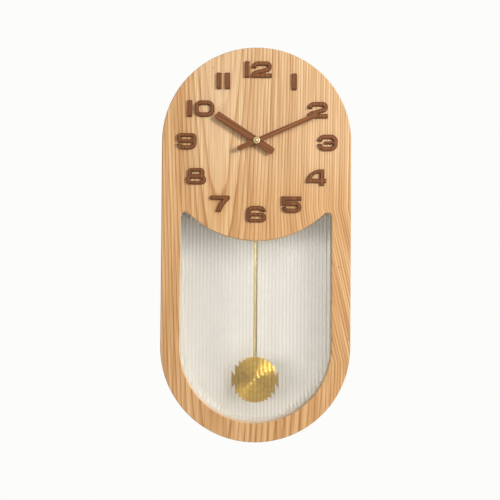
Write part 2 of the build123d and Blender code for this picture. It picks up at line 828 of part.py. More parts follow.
def make_hand_bush(name, height, bore, outer):
    """Flanged brass bush that seats a hand on its arbor."""
    with BuildPart() as bush:
        disc(facing(height - HAND_BUSH_FLANGE, 0, HAND_Z), outer + HAND_BUSH_RIM, HAND_BUSH_FLANGE)
        disc(facing(height, 0, HAND_Z), outer, HAND_THICK)
        disc(
            facing(height - HAND_BUSH_FLANGE, 0, HAND_Z),
            bore,
            HAND_BUSH_FLANGE + HAND_THICK,
            Mode.SUBTRACT,
        )
    save(bush, name)


def make_wheel_and_pinion(name, place, wheel, wheel_layer, pinion, pinion_layer, phase):
    """Wheel and pinion moulded on one arbor that runs from shell to cover."""
    with BuildPart() as piece:
        arbor(place, SHELL_WALL - PIVOT_DEPTH, COVER_DEPTH + PIVOT_DEPTH, ARBOR_RADIUS)
        toothed(wheel, place, wheel_layer, 0.0)
        toothed(pinion, place, pinion_layer, phase, PINION_OVERHANG)
    save(piece, name)


def make_contact(name, side, reach):
    """Sprung contact plate on a side wall of the battery bay, with a bump that meets the battery."""
    wall_x = side * SHELL_INSIDE
    plane = Plane(
        origin=(wall_x, BATTERY_DEPTH - MOVEMENT_FRONT, HAND_Z - BATTERY_DROP),
        x_dir=(0, side, 0),
        z_dir=(-side, 0, 0),
    )
    with BuildPart() as contact:
        bars(plane, CONTACT_SIZE, CONTACT_SIZE, CONTACT_THICK)
        disc(plane, CONTACT_BUMP_RADIUS, SHELL_INSIDE - reach)
    save(contact, name)


os.makedirs("parts", exist_ok=True)

# Dial board: one thick board with the window cut through it
with BuildPart() as front_board:
    with BuildSketch(facing(FRAME_DEPTH)):
        stadium(CASE_RADIUS)
    extrude(amount=BOARD_THICK)
    extrude(window_sketch(FRAME_DEPTH, 0), amount=BOARD_THICK, mode=Mode.SUBTRACT)
    fillet(front_board.faces().sort_by(Axis.Y)[0].edges(), EDGE_ROUND)
    extrude(window_sketch(FRAME_DEPTH, GLASS_LEDGE), amount=GLASS_THICK + GLASS_SEAT, mode=Mode.SUBTRACT)
    with BuildSketch(facing(FRAME_DEPTH, 0, HAND_Z)):
        movement_outline(POCKET_GAP)
    extrude(amount=MOVEMENT_SUNK + GASKET_THICK, mode=Mode.SUBTRACT)
    disc(facing(FRAME_DEPTH, 0, HAND_Z), BUSH_RADIUS + SCREW_HOLE_GAP, BOARD_THICK, Mode.SUBTRACT)
    holes(
        backing_each(FRAME_DEPTH, FRAME_SCREW_PLACES),
        FRAME_SCREW_SHANK + FIXED_FIT,
        FRAME_SCREW_BITE + 1,
    )
    holes(
        backing_each(FRAME_DEPTH, LUG_PLACES + CLIP_SCREW_PLACES),
        SMALL_SCREW_SHANK + FIXED_FIT,
        SMALL_SCREW_BITE + 1,
    )
save(front_board, "front_board")

# Case frame: the deep ring behind the board, with the hanger rail across its top
with BuildPart() as case_frame:
    with BuildSketch(facing(0)):
        stadium(CASE_RADIUS)
    extrude(amount=FRAME_DEPTH)
    chamfer(case_frame.faces().sort_by(Axis.Y)[-1].edges(), BACK_EDGE_CHAMFER)
    extrude(cavity_sketch(0, 0), amount=FRAME_DEPTH, mode=Mode.SUBTRACT)
    extrude(cavity_sketch(0, PANEL_LEDGE), amount=PANEL_THICK, mode=Mode.SUBTRACT)
    bars(
        facing(0, 0, HANGER_RISE),
        HANGER_WIDTH + 2 * HANGER_GAP,
        HANGER_TALL + 2 * HANGER_GAP,
        HANGER_THICK,
        Mode.SUBTRACT,
    )
    with BuildSketch(facing(HANGER_THICK)):
        with Locations((0, KEYHOLE_TRAVEL / 2)):
            SlotCenterToCenter(KEYHOLE_TRAVEL, 2 * (KEYHOLE_RADIUS + KEYHOLE_ROOM), rotation=90)
    extrude(amount=KEYHOLE_POCKET, mode=Mode.SUBTRACT)
    holes(
        backing_each(HANGER_THICK, HANGER_SCREW_PLACES),
        PANEL_SCREW_SHANK + FIXED_FIT,
        PANEL_SCREW_LONG,
    )
    holes(
        backing_each(PANEL_THICK, PANEL_SCREW_PLACES),
        PANEL_SCREW_SHANK + FIXED_FIT,
        PANEL_SCREW_LONG,
    )
    with Locations(*backing_each(0, FRAME_SCREW_PLACES)):
        CounterBoreHole(
            FRAME_SCREW_SHANK + SCREW_HOLE_GAP,
            FRAME_SCREW_HEAD + SCREW_HOLE_GAP,
            FRAME_SCREW_SINK,
            FRAME_DEPTH,
        )
save(case_frame, "case_frame")

# Back panel: let into the frame, with an opening for the battery, the knob and the pendulum hook
with BuildPart() as back_panel:
    extrude(cavity_sketch(0, PANEL_LEDGE - PANEL_GAP), amount=PANEL_THICK)
    with BuildSketch(facing(0, 0, HAND_Z)):
        with Locations((0, (ACCESS_ABOVE - ACCESS_BELOW) / 2)):
            RectangleRounded(ACCESS_WIDTH, ACCESS_ABOVE + ACCESS_BELOW, ACCESS_CORNER)
    extrude(amount=PANEL_THICK, mode=Mode.SUBTRACT)
    with Locations(*backing_each(0, PANEL_SCREW_PLACES)):
        CounterSinkHole(
            PANEL_SCREW_SHANK + SCREW_HOLE_GAP,
            PANEL_SCREW_HEAD + SCREW_HOLE_GAP,
            PANEL_THICK,
            90,
        )
save(back_panel, "back_panel")

# Fluted glass: a pane cut to the window's outline, with half-round ribs down its front
FLUTE_SIDE = ceil(WINDOW_RADIUS / FLUTE_PITCH) + 2
FLUTE_FLOOR = FRAME_DEPTH + GLASS_THICK - FLUTE_RISE
GLASS_FOOT = LOWER_Z - WINDOW_RADIUS - GLASS_LEDGE
with BuildPart() as fluted_glass:
    extrude(window_sketch(FRAME_DEPTH, GLASS_LEDGE - GLASS_GAP), amount=GLASS_THICK)
    with BuildSketch(Plane.XY.offset(GLASS_FOOT)):
        with BuildLine():
            far_edge = (FLUTE_SIDE + 0.5) * FLUTE_PITCH
            for flute in range(-FLUTE_SIDE, FLUTE_SIDE + 1):
                ThreePointArc(
                    ((flute - 0.5) * FLUTE_PITCH, -FLUTE_FLOOR),
                    (flute * FLUTE_PITCH, -FLUTE_FLOOR - FLUTE_RISE),
                    ((flute + 0.5) * FLUTE_PITCH, -FLUTE_FLOOR),
                )
            Polyline(
                (far_edge, -FLUTE_FLOOR),
                (far_edge, -FRAME_DEPTH),
                (-far_edge, -FRAME_DEPTH),
                (-far_edge, -FLUTE_FLOOR),
            )
        make_face()
    extrude(amount=HAND_Z - GLASS_FOOT, mode=Mode.INTERSECT)
save(fluted_glass, "fluted_glass")

# Clips screwed to the back of the board that hold the top edge of the glass
with BuildPart() as glazing_clips:
    for bearing in CLIP_BEARINGS:
        clip_x, clip_z = step_from((0, HAND_Z), CLIP_RADIUS, bearing)
        with BuildSketch(facing(FRAME_DEPTH - CLIP_THICK, clip_x, clip_z, bearing)):
            SlotOverall(CLIP_LENGTH, CLIP_WIDTH)
            with Locations((-CLIP_LENGTH / 4, 0)):
                Circle(SMALL_SCREW_SHANK + SCREW_HOLE_GAP, mode=Mode.SUBTRACT)
    extrude(amount=CLIP_THICK)
save(glazing_clips, "glazing_clips")

# Hanger plate: steel, let in flush, with the keyhole at the origin
with BuildPart() as hanger_plate:
    bars(facing(0, 0, HANGER_RISE), HANGER_WIDTH, HANGER_TALL, HANGER_THICK)
    disc(facing(0), KEYHOLE_RADIUS, HANGER_THICK, Mode.SUBTRACT)
    with BuildSketch(facing(0)):
        with Locations((0, KEYHOLE_TRAVEL / 2)):
            SlotCenterToCenter(KEYHOLE_TRAVEL, KEYHOLE_SLOT, rotation=90)
    extrude(amount=HANGER_THICK, mode=Mode.SUBTRACT)
    with Locations(*backing_each(0, HANGER_SCREW_PLACES)):
        CounterSinkHole(
            PANEL_SCREW_SHANK + SCREW_HOLE_GAP,
            PANEL_SCREW_HEAD + SCREW_HOLE_GAP,
            HANGER_THICK,
            90,
        )
save(hanger_plate, "hanger_plate")

# Fasteners
panel_screw = countersunk_screw(PANEL_SCREW_HEAD, PANEL_SCREW_SHANK, PANEL_SCREW_LONG)
frame_screw = pan_screw(
    FRAME_SCREW_HEAD,
    FRAME_SCREW_SHANK,
    FRAME_SCREW_SHANK,
    FRAME_DEPTH - FRAME_SCREW_SINK + FRAME_SCREW_BITE,
)
clip_screw = pan_screw(
    SMALL_SCREW_HEAD, SMALL_SCREW_HEAD_TALL, SMALL_SCREW_SHANK, CLIP_THICK + SMALL_SCREW_BITE
)
lug_screw = pan_screw(
    SMALL_SCREW_HEAD, SMALL_SCREW_HEAD_TALL, SMALL_SCREW_SHANK, LUG_THICK + SMALL_SCREW_BITE
)
cover_screw = pan_screw(
    COVER_SCREW_HEAD, COVER_SCREW_HEAD_TALL, COVER_SCREW_SHANK, COVER_SCREW_LONG
)
COVER_SCREW_CASE_PLACES = [(x, HAND_Z + z) for x, z in COVER_SCREW_PLACES]
screw_group("back_panel_screws", panel_screw, backing_each(0, PANEL_SCREW_PLACES))
screw_group("hanger_screws", panel_screw, backing_each(0, HANGER_SCREW_PLACES))
screw_group("frame_screws", frame_screw, backing_each(FRAME_SCREW_SINK, FRAME_SCREW_PLACES))
screw_group("clip_screws", clip_screw, backing_each(FRAME_DEPTH - CLIP_THICK, CLIP_SCREW_PLACES))
screw_group("movement_screws", lug_screw, backing_each(FRAME_DEPTH - LUG_THICK, LUG_PLACES))
screw_group("cover_screws", cover_screw, backing_each(MOVEMENT_BACK, COVER_SCREW_CASE_PLACES))

# Numerals, hands and the cap nut over them
for number in range(1, 13):
    make_numeral(number)

HOUR_BUSH_BORE = HOUR_PIPE_RADIUS + FIXED_FIT
HOUR_BUSH_OUTER = HOUR_BUSH_BORE + HAND_BUSH_WALL
MINUTE_BUSH_BORE = HAND_THREAD_RADIUS + FIXED_FIT
MINUTE_BUSH_OUTER = MINUTE_BUSH_BORE + HAND_BUSH_WALL
make_hand(
    "hour_hand",
    HOUR_HAND_HEIGHT,
    HOUR_ANGLE,
    HOUR_REACH,
    HOUR_TAIL,
    HOUR_TIP_WIDTH,
    HOUR_TAIL_WIDTH,
    HOUR_BUSH_OUTER + FIXED_FIT,
)
make_hand(
    "minute_hand",
    MINUTE_HAND_HEIGHT,
    MINUTE_ANGLE,
    MINUTE_REACH,
    MINUTE_TAIL,
    MINUTE_TIP_WIDTH,
    MINUTE_TAIL_WIDTH,
    MINUTE_BUSH_OUTER + FIXED_FIT,
)
make_hand_bush("hour_hand_bush", HOUR_HAND_HEIGHT, HOUR_BUSH_BORE, HOUR_BUSH_OUTER)
make_hand_bush("minute_hand_bush", MINUTE_HAND_HEIGHT, MINUTE_BUSH_BORE, MINUTE_BUSH_OUTER)

with BuildPart() as hand_cap_nut:
    disc(facing(CAP_HEIGHT, 0, HAND_Z), CAP_RADIUS, CAP_RIM)
    chamfer(hand_cap_nut.faces().sort_by(Axis.Y)[0].edges(), CAP_RIM / 3)
    disc(facing(CAP_HEIGHT + CAP_RIM, 0, HAND_Z), CAP_DOME_RADIUS, CAP_TALL - CAP_RIM)
    fillet(hand_cap_nut.faces().sort_by(Axis.Y)[0].edges(), (CAP_TALL - CAP_RIM) / 2)
    disc(
        facing(CAP_HEIGHT, 0, HAND_Z),
        HAND_THREAD_RADIUS + FIXED_FIT,
        CAP_RIM,
        Mode.SUBTRACT,
    )
save(hand_cap_nut, "hand_cap_nut")

# Movement front shell: a tray with lugs, pivot holes, screw posts and the walls of the battery bay
SHELL_DEEP = COVER_DEPTH - SHELL_WALL
with BuildPart() as front_shell:
    with BuildSketch(train_plane(COVER_DEPTH)):
        movement_outline(0)
    extrude(amount=COVER_DEPTH)
    with BuildSketch(train_plane(COVER_DEPTH)):
        movement_outline(-SHELL_WALL)
    extrude(amount=SHELL_DEEP, mode=Mode.SUBTRACT)
    for side in (-1, 1):
        with BuildSketch(facing(FRAME_DEPTH - LUG_THICK, 0, HAND_Z - LUG_DROP)):
            with Locations((side * (MOVEMENT_WIDTH - SHELL_WALL) / 2, 0)):
                Rectangle(
                    LUG_SCREW_X - (MOVEMENT_WIDTH - SHELL_WALL) / 2,
                    LUG_WIDTH,
                    align=(Align.MIN if side > 0 else Align.MAX, Align.CENTER),
                )
            with Locations((side * LUG_SCREW_X, 0)):
                Circle(LUG_WIDTH / 2)
                Circle(SMALL_SCREW_SHANK + SCREW_HOLE_GAP, mode=Mode.SUBTRACT)
        extrude(amount=LUG_THICK)
    for wall in (1, -1):
        wall_z = wall * (BAY_HALF + BAY_WALL / 2) - BATTERY_DROP
        bars(
            train_plane(COVER_DEPTH, (0, wall_z)),
            MOVEMENT_WIDTH - SHELL_WALL,
            BAY_WALL,
            SHELL_DEEP + SHELL_WALL / 2,
        )
    for place in COVER_SCREW_PLACES:
        arbor(place, SHELL_WALL / 2, COVER_DEPTH, SCREW_POST_RADIUS)
        arbor(
            place,
            COVER_DEPTH - COVER_SCREW_LONG,
            COVER_DEPTH,
            COVER_SCREW_SHANK + FIXED_FIT,
            Mode.SUBTRACT,
        )
    for place in STATOR_POSTS:
        arbor(place, SHELL_WALL / 2, STATOR_DEPTH, POST_RADIUS)
    for place in CIRCUIT_POSTS:
        arbor(place, SHELL_WALL / 2, CIRCUIT_DEPTH, POST_RADIUS)
    for place in (THIRD_PLACE, INTERMEDIATE_PLACE, ROTOR_PLACE):
        arbor(
            place,
            SHELL_WALL - PIVOT_DEPTH - END_PLAY,
            SHELL_WALL,
            ARBOR_RADIUS + RUNNING_FIT,
            Mode.SUBTRACT,
        )
    arbor(
        MINUTE_PLACE,
        SHELL_WALL - PIVOT_DEPTH - END_PLAY,
        SHELL_WALL,
        MINUTE_ARBOR_RADIUS + RUNNING_FIT,
        Mode.SUBTRACT,
    )
    arbor(CENTER, 0, SHELL_WALL, BUSH_RADIUS + FIXED_FIT, Mode.SUBTRACT)
save(front_shell, "movement_front_shell")

# Movement rear cover: open over the battery, with pivot holes and the pendulum's pivot boss
with BuildPart() as rear_cover:
    with BuildSketch(train_plane(MOVEMENT_DEPTH)):
        movement_outline(0)
    extrude(amount=COVER_THICK)
    bars(
        train_plane(MOVEMENT_DEPTH, (0, -BATTERY_DROP)),
        2 * SHELL_INSIDE - 2,
        2 * BAY_HALF,
        COVER_THICK,
        Mode.SUBTRACT,
    )
    for place in (THIRD_PLACE, INTERMEDIATE_PLACE, ROTOR_PLACE, CENTER):
        arbor(
            place,
            COVER_DEPTH,
            COVER_DEPTH + PIVOT_DEPTH + END_PLAY,
            ARBOR_RADIUS + RUNNING_FIT,
            Mode.SUBTRACT,
        )
    arbor(
        MINUTE_PLACE,
        COVER_DEPTH,
        MOVEMENT_DEPTH,
        MINUTE_ARBOR_RADIUS + RUNNING_FIT,
        Mode.SUBTRACT,
    )
    for place in COVER_SCREW_PLACES:
        arbor(
            place,
            COVER_DEPTH,
            MOVEMENT_DEPTH,
            COVER_SCREW_SHANK + SCREW_HOLE_GAP,
            Mode.SUBTRACT,
        )
    boss_height = HANGER_ARM_HEIGHT + HANGER_ARM_THICK + END_PLAY
    boss_plane = facing(boss_height, 0, HAND_Z - PIVOT_DROP)
    disc(boss_plane, PIVOT_BOSS_RADIUS, MOVEMENT_BACK - boss_height)
    disc(boss_plane, PIVOT_RADIUS, MOVEMENT_BACK - boss_height, Mode.SUBTRACT)
save(rear_cover, "movement_rear_cover")

# Brass bush that the hour pipe turns in, and the rubber gasket behind the board
with BuildPart() as center_bush:
    arbor(CENTER, SHELL_WALL, SHELL_WALL + BUSH_FLANGE_THICK, BUSH_FLANGE_RADIUS)
    bush_long = DIAL_HEIGHT - BUSH_SETBACK - MOVEMENT_FRONT
    arbor(CENTER, -bush_long, SHELL_WALL + BUSH_FLANGE_THICK, BUSH_RADIUS)
    arbor(
        CENTER,
        -bush_long,
        SHELL_WALL + BUSH_FLANGE_THICK,
        HOUR_PIPE_RADIUS + RUNNING_FIT,
        Mode.SUBTRACT,
    )
save(center_bush, "center_bush")

with BuildPart() as rubber_gasket:
    arbor(CENTER, -GASKET_THICK, 0, GASKET_RADIUS)
    arbor(CENTER, -GASKET_THICK, 0, BUSH_RADIUS + FIXED_FIT, Mode.SUBTRACT)
save(rubber_gasket, "rubber_gasket")

# Gear train, from the hands back to the motor
MINUTE_PHASE = phase_in_mesh(CANNON_PINION, 0.0, MINUTE_WHEEL, MINUTE_BEARING)
HOUR_PHASE = phase_in_mesh(MINUTE_PINION, 0.0, HOUR_WHEEL, MINUTE_BEARING + 180)
THIRD_PHASE = phase_in_mesh(CENTER_WHEEL, 0.0, THIRD_PINION, THIRD_BEARING)
SECONDS_PHASE = phase_in_mesh(THIRD_WHEEL, 0.0, SECONDS_PINION, THIRD_BEARING + 180)
INTERMEDIATE_PHASE = phase_in_mesh(SECONDS_WHEEL, 0.0, INTERMEDIATE_PINION, INTERMEDIATE_BEARING)
ROTOR_PHASE = phase_in_mesh(INTERMEDIATE_WHEEL, 0.0, ROTOR_PINION, ROTOR_BEARING)
ARBOR_END = CENTER_LAYER + WHEEL_THICK + 3 * PINION_OVERHANG

with BuildPart() as center_wheel:
    arbor(CENTER, MOVEMENT_FRONT - MINUTE_HAND_HEIGHT + HAND_BUSH_FLANGE, ARBOR_END, CENTER_ARBOR_RADIUS)
    arbor(
        CENTER,
        MOVEMENT_FRONT - CAP_HEIGHT - CAP_RIM + END_PLAY,
        MOVEMENT_FRONT - MINUTE_HAND_HEIGHT + HAND_BUSH_FLANGE,
        HAND_THREAD_RADIUS,
    )
    toothed(CANNON_PINION, CENTER, MINUTE_LAYER, 0.0, PINION_OVERHANG)
    toothed(CENTER_WHEEL, CENTER, CENTER_LAYER, 0.0)
    arbor(
        CENTER,
        ARBOR_END - PIVOT_DEPTH - END_PLAY,
        ARBOR_END,
        ARBOR_RADIUS + RUNNING_FIT,
        Mode.SUBTRACT,
    )
save(center_wheel, "center_wheel")

with BuildPart() as hour_wheel:
    toothed(HOUR_WHEEL, CENTER, HOUR_LAYER, HOUR_PHASE)
    pipe_front = MOVEMENT_FRONT - HOUR_HAND_HEIGHT - HAND_THICK
    arbor(CENTER, pipe_front, HOUR_LAYER + WHEEL_THICK, HOUR_PIPE_RADIUS)
    arbor(
        CENTER,
        pipe_front,
        HOUR_LAYER + WHEEL_THICK,
        CENTER_ARBOR_RADIUS + RUNNING_FIT,
        Mode.SUBTRACT,
    )
save(hour_wheel, "hour_wheel")

KNOB_END = MOVEMENT_DEPTH + KNOB_LIFT + KNOB_LONG
with BuildPart() as minute_wheel:
    arbor(MINUTE_PLACE, SHELL_WALL - PIVOT_DEPTH, KNOB_END - END_PLAY, MINUTE_ARBOR_RADIUS)
    toothed(MINUTE_WHEEL, MINUTE_PLACE, MINUTE_LAYER, MINUTE_PHASE)
    toothed(MINUTE_PINION, MINUTE_PLACE, HOUR_LAYER, 0.0, PINION_OVERHANG)
save(minute_wheel, "minute_wheel")

make_wheel_and_pinion(
    "third_wheel", THIRD_PLACE, THIRD_WHEEL, THIRD_LAYER, THIRD_PINION, CENTER_LAYER, THIRD_PHASE
)
make_wheel_and_pinion(
    "intermediate_wheel",
    INTERMEDIATE_PLACE,
    INTERMEDIATE_WHEEL,
    INTERMEDIATE_LAYER,
    INTERMEDIATE_PINION,
    SECONDS_LAYER,
    INTERMEDIATE_PHASE,
)

with BuildPart() as seconds_wheel:
    arbor(CENTER, ARBOR_END - PIVOT_DEPTH, COVER_DEPTH + PIVOT_DEPTH, ARBOR_RADIUS)
    toothed(SECONDS_WHEEL, CENTER, SECONDS_LAYER, 0.0)
    toothed(SECONDS_PINION, CENTER, THIRD_LAYER, SECONDS_PHASE, PINION_OVERHANG)
save(seconds_wheel, "seconds_wheel")

# Stepping motor: rotor, its magnet, the stator that holds the coil, and the coil on its bobbin
with BuildPart() as rotor_pinion:
    arbor(ROTOR_PLACE, SHELL_WALL - PIVOT_DEPTH, COVER_DEPTH + PIVOT_DEPTH, ARBOR_RADIUS)
    toothed(ROTOR_PINION, ROTOR_PLACE, INTERMEDIATE_LAYER, ROTOR_PHASE, PINION_OVERHANG)
save(rotor_pinion, "rotor_pinion")

MAGNET_NEAR = STATOR_DEPTH + STATOR_THICK / 2 - MAGNET_LONG / 2
with BuildPart() as rotor_magnet:
    arbor(ROTOR_PLACE, MAGNET_NEAR, MAGNET_NEAR + MAGNET_LONG, MAGNET_RADIUS)
    arbor(
        ROTOR_PLACE,
        MAGNET_NEAR,
        MAGNET_NEAR + MAGNET_LONG,
        ARBOR_RADIUS + FIXED_FIT,
        Mode.SUBTRACT,
    )
save(rotor_magnet, "rotor_magnet")

STATOR_WIDE = STATOR_RIGHT - STATOR_LEFT
STATOR_MIDDLE = (STATOR_LEFT + STATOR_RIGHT) / 2
with BuildPart() as stator:
    with BuildSketch(train_plane(STATOR_DEPTH + STATOR_THICK)):
        with Locations((STATOR_MIDDLE, (STATOR_TOP + STATOR_BOTTOM) / 2)):
            Rectangle(STATOR_WIDE, STATOR_TOP - STATOR_BOTTOM)
        with Locations((STATOR_MIDDLE, STATOR_YOKE_TOP)):
            Rectangle(
                STATOR_WIDE - 2 * STATOR_BAR,
                STATOR_TOP - STATOR_BAR - STATOR_YOKE_TOP,
                align=(Align.CENTER, Align.MIN),
                mode=Mode.SUBTRACT,
            )
        with Locations(ROTOR_PLACE):
            Circle(MAGNET_RADIUS + STATOR_AIR, mode=Mode.SUBTRACT)
    extrude(amount=STATOR_THICK)
save(stator, "stator")

COIL_LONG = STATOR_WIDE - 2 * STATOR_BAR - 2 * END_PLAY
COIL_PLANE = Plane(
    origin=(
        STATOR_LEFT + STATOR_BAR + END_PLAY,
        STATOR_DEPTH + STATOR_THICK / 2 - MOVEMENT_FRONT,
        HAND_Z + COIL_Z,
    ),
    x_dir=(0, 1, 0),
    z_dir=(1, 0, 0),
)
with BuildPart() as motor_coil:
    disc(COIL_PLANE, COIL_RADIUS, COIL_FLANGE)
    disc(COIL_PLANE, COIL_RADIUS - COIL_NECK, COIL_LONG)
    disc(COIL_PLANE.offset(COIL_LONG - COIL_FLANGE), COIL_RADIUS, COIL_FLANGE)
    bars(
        COIL_PLANE,
        STATOR_THICK + 2 * FIXED_FIT,
        STATOR_BAR + 2 * FIXED_FIT,
        COIL_LONG,
        Mode.SUBTRACT,
    )
save(motor_coil, "motor_coil")

# Circuit board on its posts, with the quartz crystal lying on it
with BuildPart() as circuit_board:
    bars(
        train_plane(CIRCUIT_DEPTH + CIRCUIT_THICK, CIRCUIT_CENTER),
        BOARD_WIDTH,
        BOARD_TALL,
        CIRCUIT_THICK,
    )
save(circuit_board, "circuit_board")

crystal_height = MOVEMENT_FRONT - CIRCUIT_DEPTH - CIRCUIT_THICK - CRYSTAL_RADIUS - END_PLAY
with BuildPart() as quartz_crystal:
    crystal_plane = Plane(
        origin=(CIRCUIT_CENTER[0], -crystal_height, HAND_Z + CIRCUIT_CENTER[1]),
        x_dir=(1, 0, 0),
        z_dir=(0, 0, 1),
    )
    disc(crystal_plane, CRYSTAL_RADIUS, CRYSTAL_LONG)
    chamfer(quartz_crystal.faces().sort_by(Axis.Z)[-1].edges(), CRYSTAL_RADIUS / 4)
save(quartz_crystal, "quartz_crystal")

# Battery in its bay, between two contacts
BATTERY_PLANE = Plane(
    origin=(-BATTERY_LONG / 2, BATTERY_DEPTH - MOVEMENT_FRONT, HAND_Z - BATTERY_DROP),
    x_dir=(0, 1, 0),
    z_dir=(1, 0, 0),
)
with BuildPart() as battery:
    disc(BATTERY_PLANE, BATTERY_RADIUS, BATTERY_LONG - BATTERY_NUB_LONG)
    chamfer(battery.edges().filter_by(GeomType.CIRCLE), BATTERY_NUB_LONG / 2)
    disc(
        BATTERY_PLANE.offset(BATTERY_LONG - BATTERY_NUB_LONG), BATTERY_NUB_RADIUS, BATTERY_NUB_LONG
    )
save(battery, "battery")

CONTACT_REACH = BATTERY_LONG / 2 + END_PLAY
make_contact("positive_contact", 1, CONTACT_REACH)
make_contact("negative_contact", -1, CONTACT_REACH)

# Setting knob on the minute wheel's arbor, behind the cover
with BuildPart() as setting_knob:
    knob_plane = train_plane(KNOB_END, MINUTE_PLACE)
    disc(knob_plane, KNOB_RADIUS, KNOB_LONG)
    with BuildSketch(knob_plane):
        with PolarLocations(KNOB_RADIUS + KNOB_GRIP_RADIUS / 4, KNOB_GRIPS):
            Circle(KNOB_GRIP_RADIUS)
    extrude(amount=KNOB_LONG, mode=Mode.SUBTRACT)
    disc(
        knob_plane,
        MINUTE_ARBOR_RADIUS + FIXED_FIT,
        KNOB_LONG,
        Mode.SUBTRACT,
    )
save(setting_knob, "setting_knob")

# Pendulum drive: a coil inside the cover and a magnet on the hanger that swings past it
with BuildPart() as pendulum_coil:
    coil_place = (0, -COIL_DROP)
    arbor(coil_place, COVER_DEPTH - DRIVE_COIL_THICK, COVER_DEPTH, DRIVE_COIL_RADIUS)
    arbor(
        coil_place,
        COVER_DEPTH - DRIVE_COIL_THICK,
        COVER_DEPTH,
        DRIVE_COIL_BORE,
        Mode.SUBTRACT,
    )
save(pendulum_coil, "pendulum_coil")

# Pin that the pendulum hangs on, pressed into the cover's boss
PIVOT_Z = HAND_Z - PIVOT_DROP
with BuildPart() as pivot_pin:
    head_height = HANGER_ARM_HEIGHT - END_PLAY - PIVOT_HEAD_THICK
    disc(facing(head_height, 0, PIVOT_Z), PIVOT_HEAD_RADIUS, PIVOT_HEAD_THICK)
    disc(
        facing(head_height + PIVOT_HEAD_THICK, 0, PIVOT_Z),
        PIVOT_RADIUS - FIXED_FIT,
        MOVEMENT_BACK - head_height - PIVOT_HEAD_THICK,
    )
save(pivot_pin, "hanger_pivot_pin")

# Hanger arm: an eye on the pin, a long arm and the stud that the rod's eye drops over
HOOK_Z = HAND_Z - HOOK_DROP
with BuildPart() as pendulum_hanger:
    with BuildSketch(facing(HANGER_ARM_HEIGHT, 0, PIVOT_Z)):
        Circle(HANGER_EYE_RADIUS)
        with Locations((0, (PIVOT_DROP - HOOK_DROP) / 2)):
            SlotCenterToCenter(HOOK_DROP - PIVOT_DROP, HANGER_ARM_WIDTH, rotation=90)
        Circle(PIVOT_RADIUS - FIXED_FIT + RUNNING_FIT, mode=Mode.SUBTRACT)
    extrude(amount=HANGER_ARM_THICK)
    stud_height = ROD_HEIGHT - ROD_RADIUS - END_PLAY
    disc(facing(stud_height, 0, HOOK_Z), STUD_RADIUS, HANGER_ARM_HEIGHT - stud_height)
    disc(facing(stud_height - STUD_HEAD_THICK, 0, HOOK_Z), STUD_HEAD_RADIUS, STUD_HEAD_THICK)
save(pendulum_hanger, "pendulum_hanger")

with BuildPart() as pendulum_magnet:
    disc(
        facing(HANGER_ARM_HEIGHT + HANGER_ARM_THICK, 0, HAND_Z - COIL_DROP),
        DRIVE_MAGNET_RADIUS,
        MOVEMENT_BACK - DRIVE_MAGNET_AIR - HANGER_ARM_HEIGHT - HANGER_ARM_THICK,
    )
save(pendulum_magnet, "pendulum_magnet")

# Brass rod with a flat eye at its top, and its end held behind the bob
ROD_END = BOB_Z - BOB_CLIP_TALL / 2 - ROD_PAST_CLIP
with BuildPart() as pendulum_rod:
    disc(facing(ROD_HEIGHT - ROD_EYE_THICK / 2, 0, HOOK_Z), ROD_EYE_RADIUS, ROD_EYE_THICK)
    rod_plane = Plane(origin=(0, -ROD_HEIGHT, ROD_END), x_dir=(1, 0, 0), z_dir=(0, 0, 1))
    disc(rod_plane, ROD_RADIUS, HOOK_Z - ROD_END)
    disc(
        facing(ROD_HEIGHT - ROD_RADIUS, 0, HOOK_Z),
        STUD_RADIUS + FIXED_FIT,
        2 * ROD_RADIUS,
        Mode.SUBTRACT,
    )
save(pendulum_rod, "pendulum_rod")

# Bob: a spun brass disc, a little crowned on its front
with BuildPart() as pendulum_bob:
    with BuildSketch(Plane(origin=(0, -BOB_HEIGHT, BOB_Z), x_dir=(1, 0, 0), z_dir=(0, 0, 1))):
        with BuildLine():
            Polyline((0, -BOB_RIM - BOB_CROWN), (0, 0), (BOB_RADIUS, 0), (BOB_RADIUS, -BOB_RIM))
            TangentArc((0, -BOB_RIM - BOB_CROWN), (BOB_RADIUS, -BOB_RIM), tangent=(1, 0))
        make_face()
    revolve(axis=Axis((0, -BOB_HEIGHT, BOB_Z), (0, 1, 0)))
save(pendulum_bob, "pendulum_bob")

# Clip on the back of the bob that grips the rod
with BuildPart() as bob_clip:
    clip_back = ROD_HEIGHT - ROD_RADIUS - BOB_CLIP_COVER
    bars(
        facing(clip_back, 0, BOB_Z),
        BOB_CLIP_WIDTH,
        BOB_CLIP_TALL,
        BOB_HEIGHT - clip_back,
    )
    fillet(bob_clip.faces().sort_by(Axis.Y)[-1].edges().filter_by(Axis.Z), BOB_CLIP_COVER)
    disc(
        Plane(
            origin=(0, -ROD_HEIGHT, BOB_Z - BOB_CLIP_TALL / 2), x_dir=(1, 0, 0), z_dir=(0, 0, 1)
        ),
        ROD_RADIUS + FIXED_FIT,
        BOB_CLIP_TALL,
        Mode.SUBTRACT,
    )
save(bob_clip, "bob_clip")
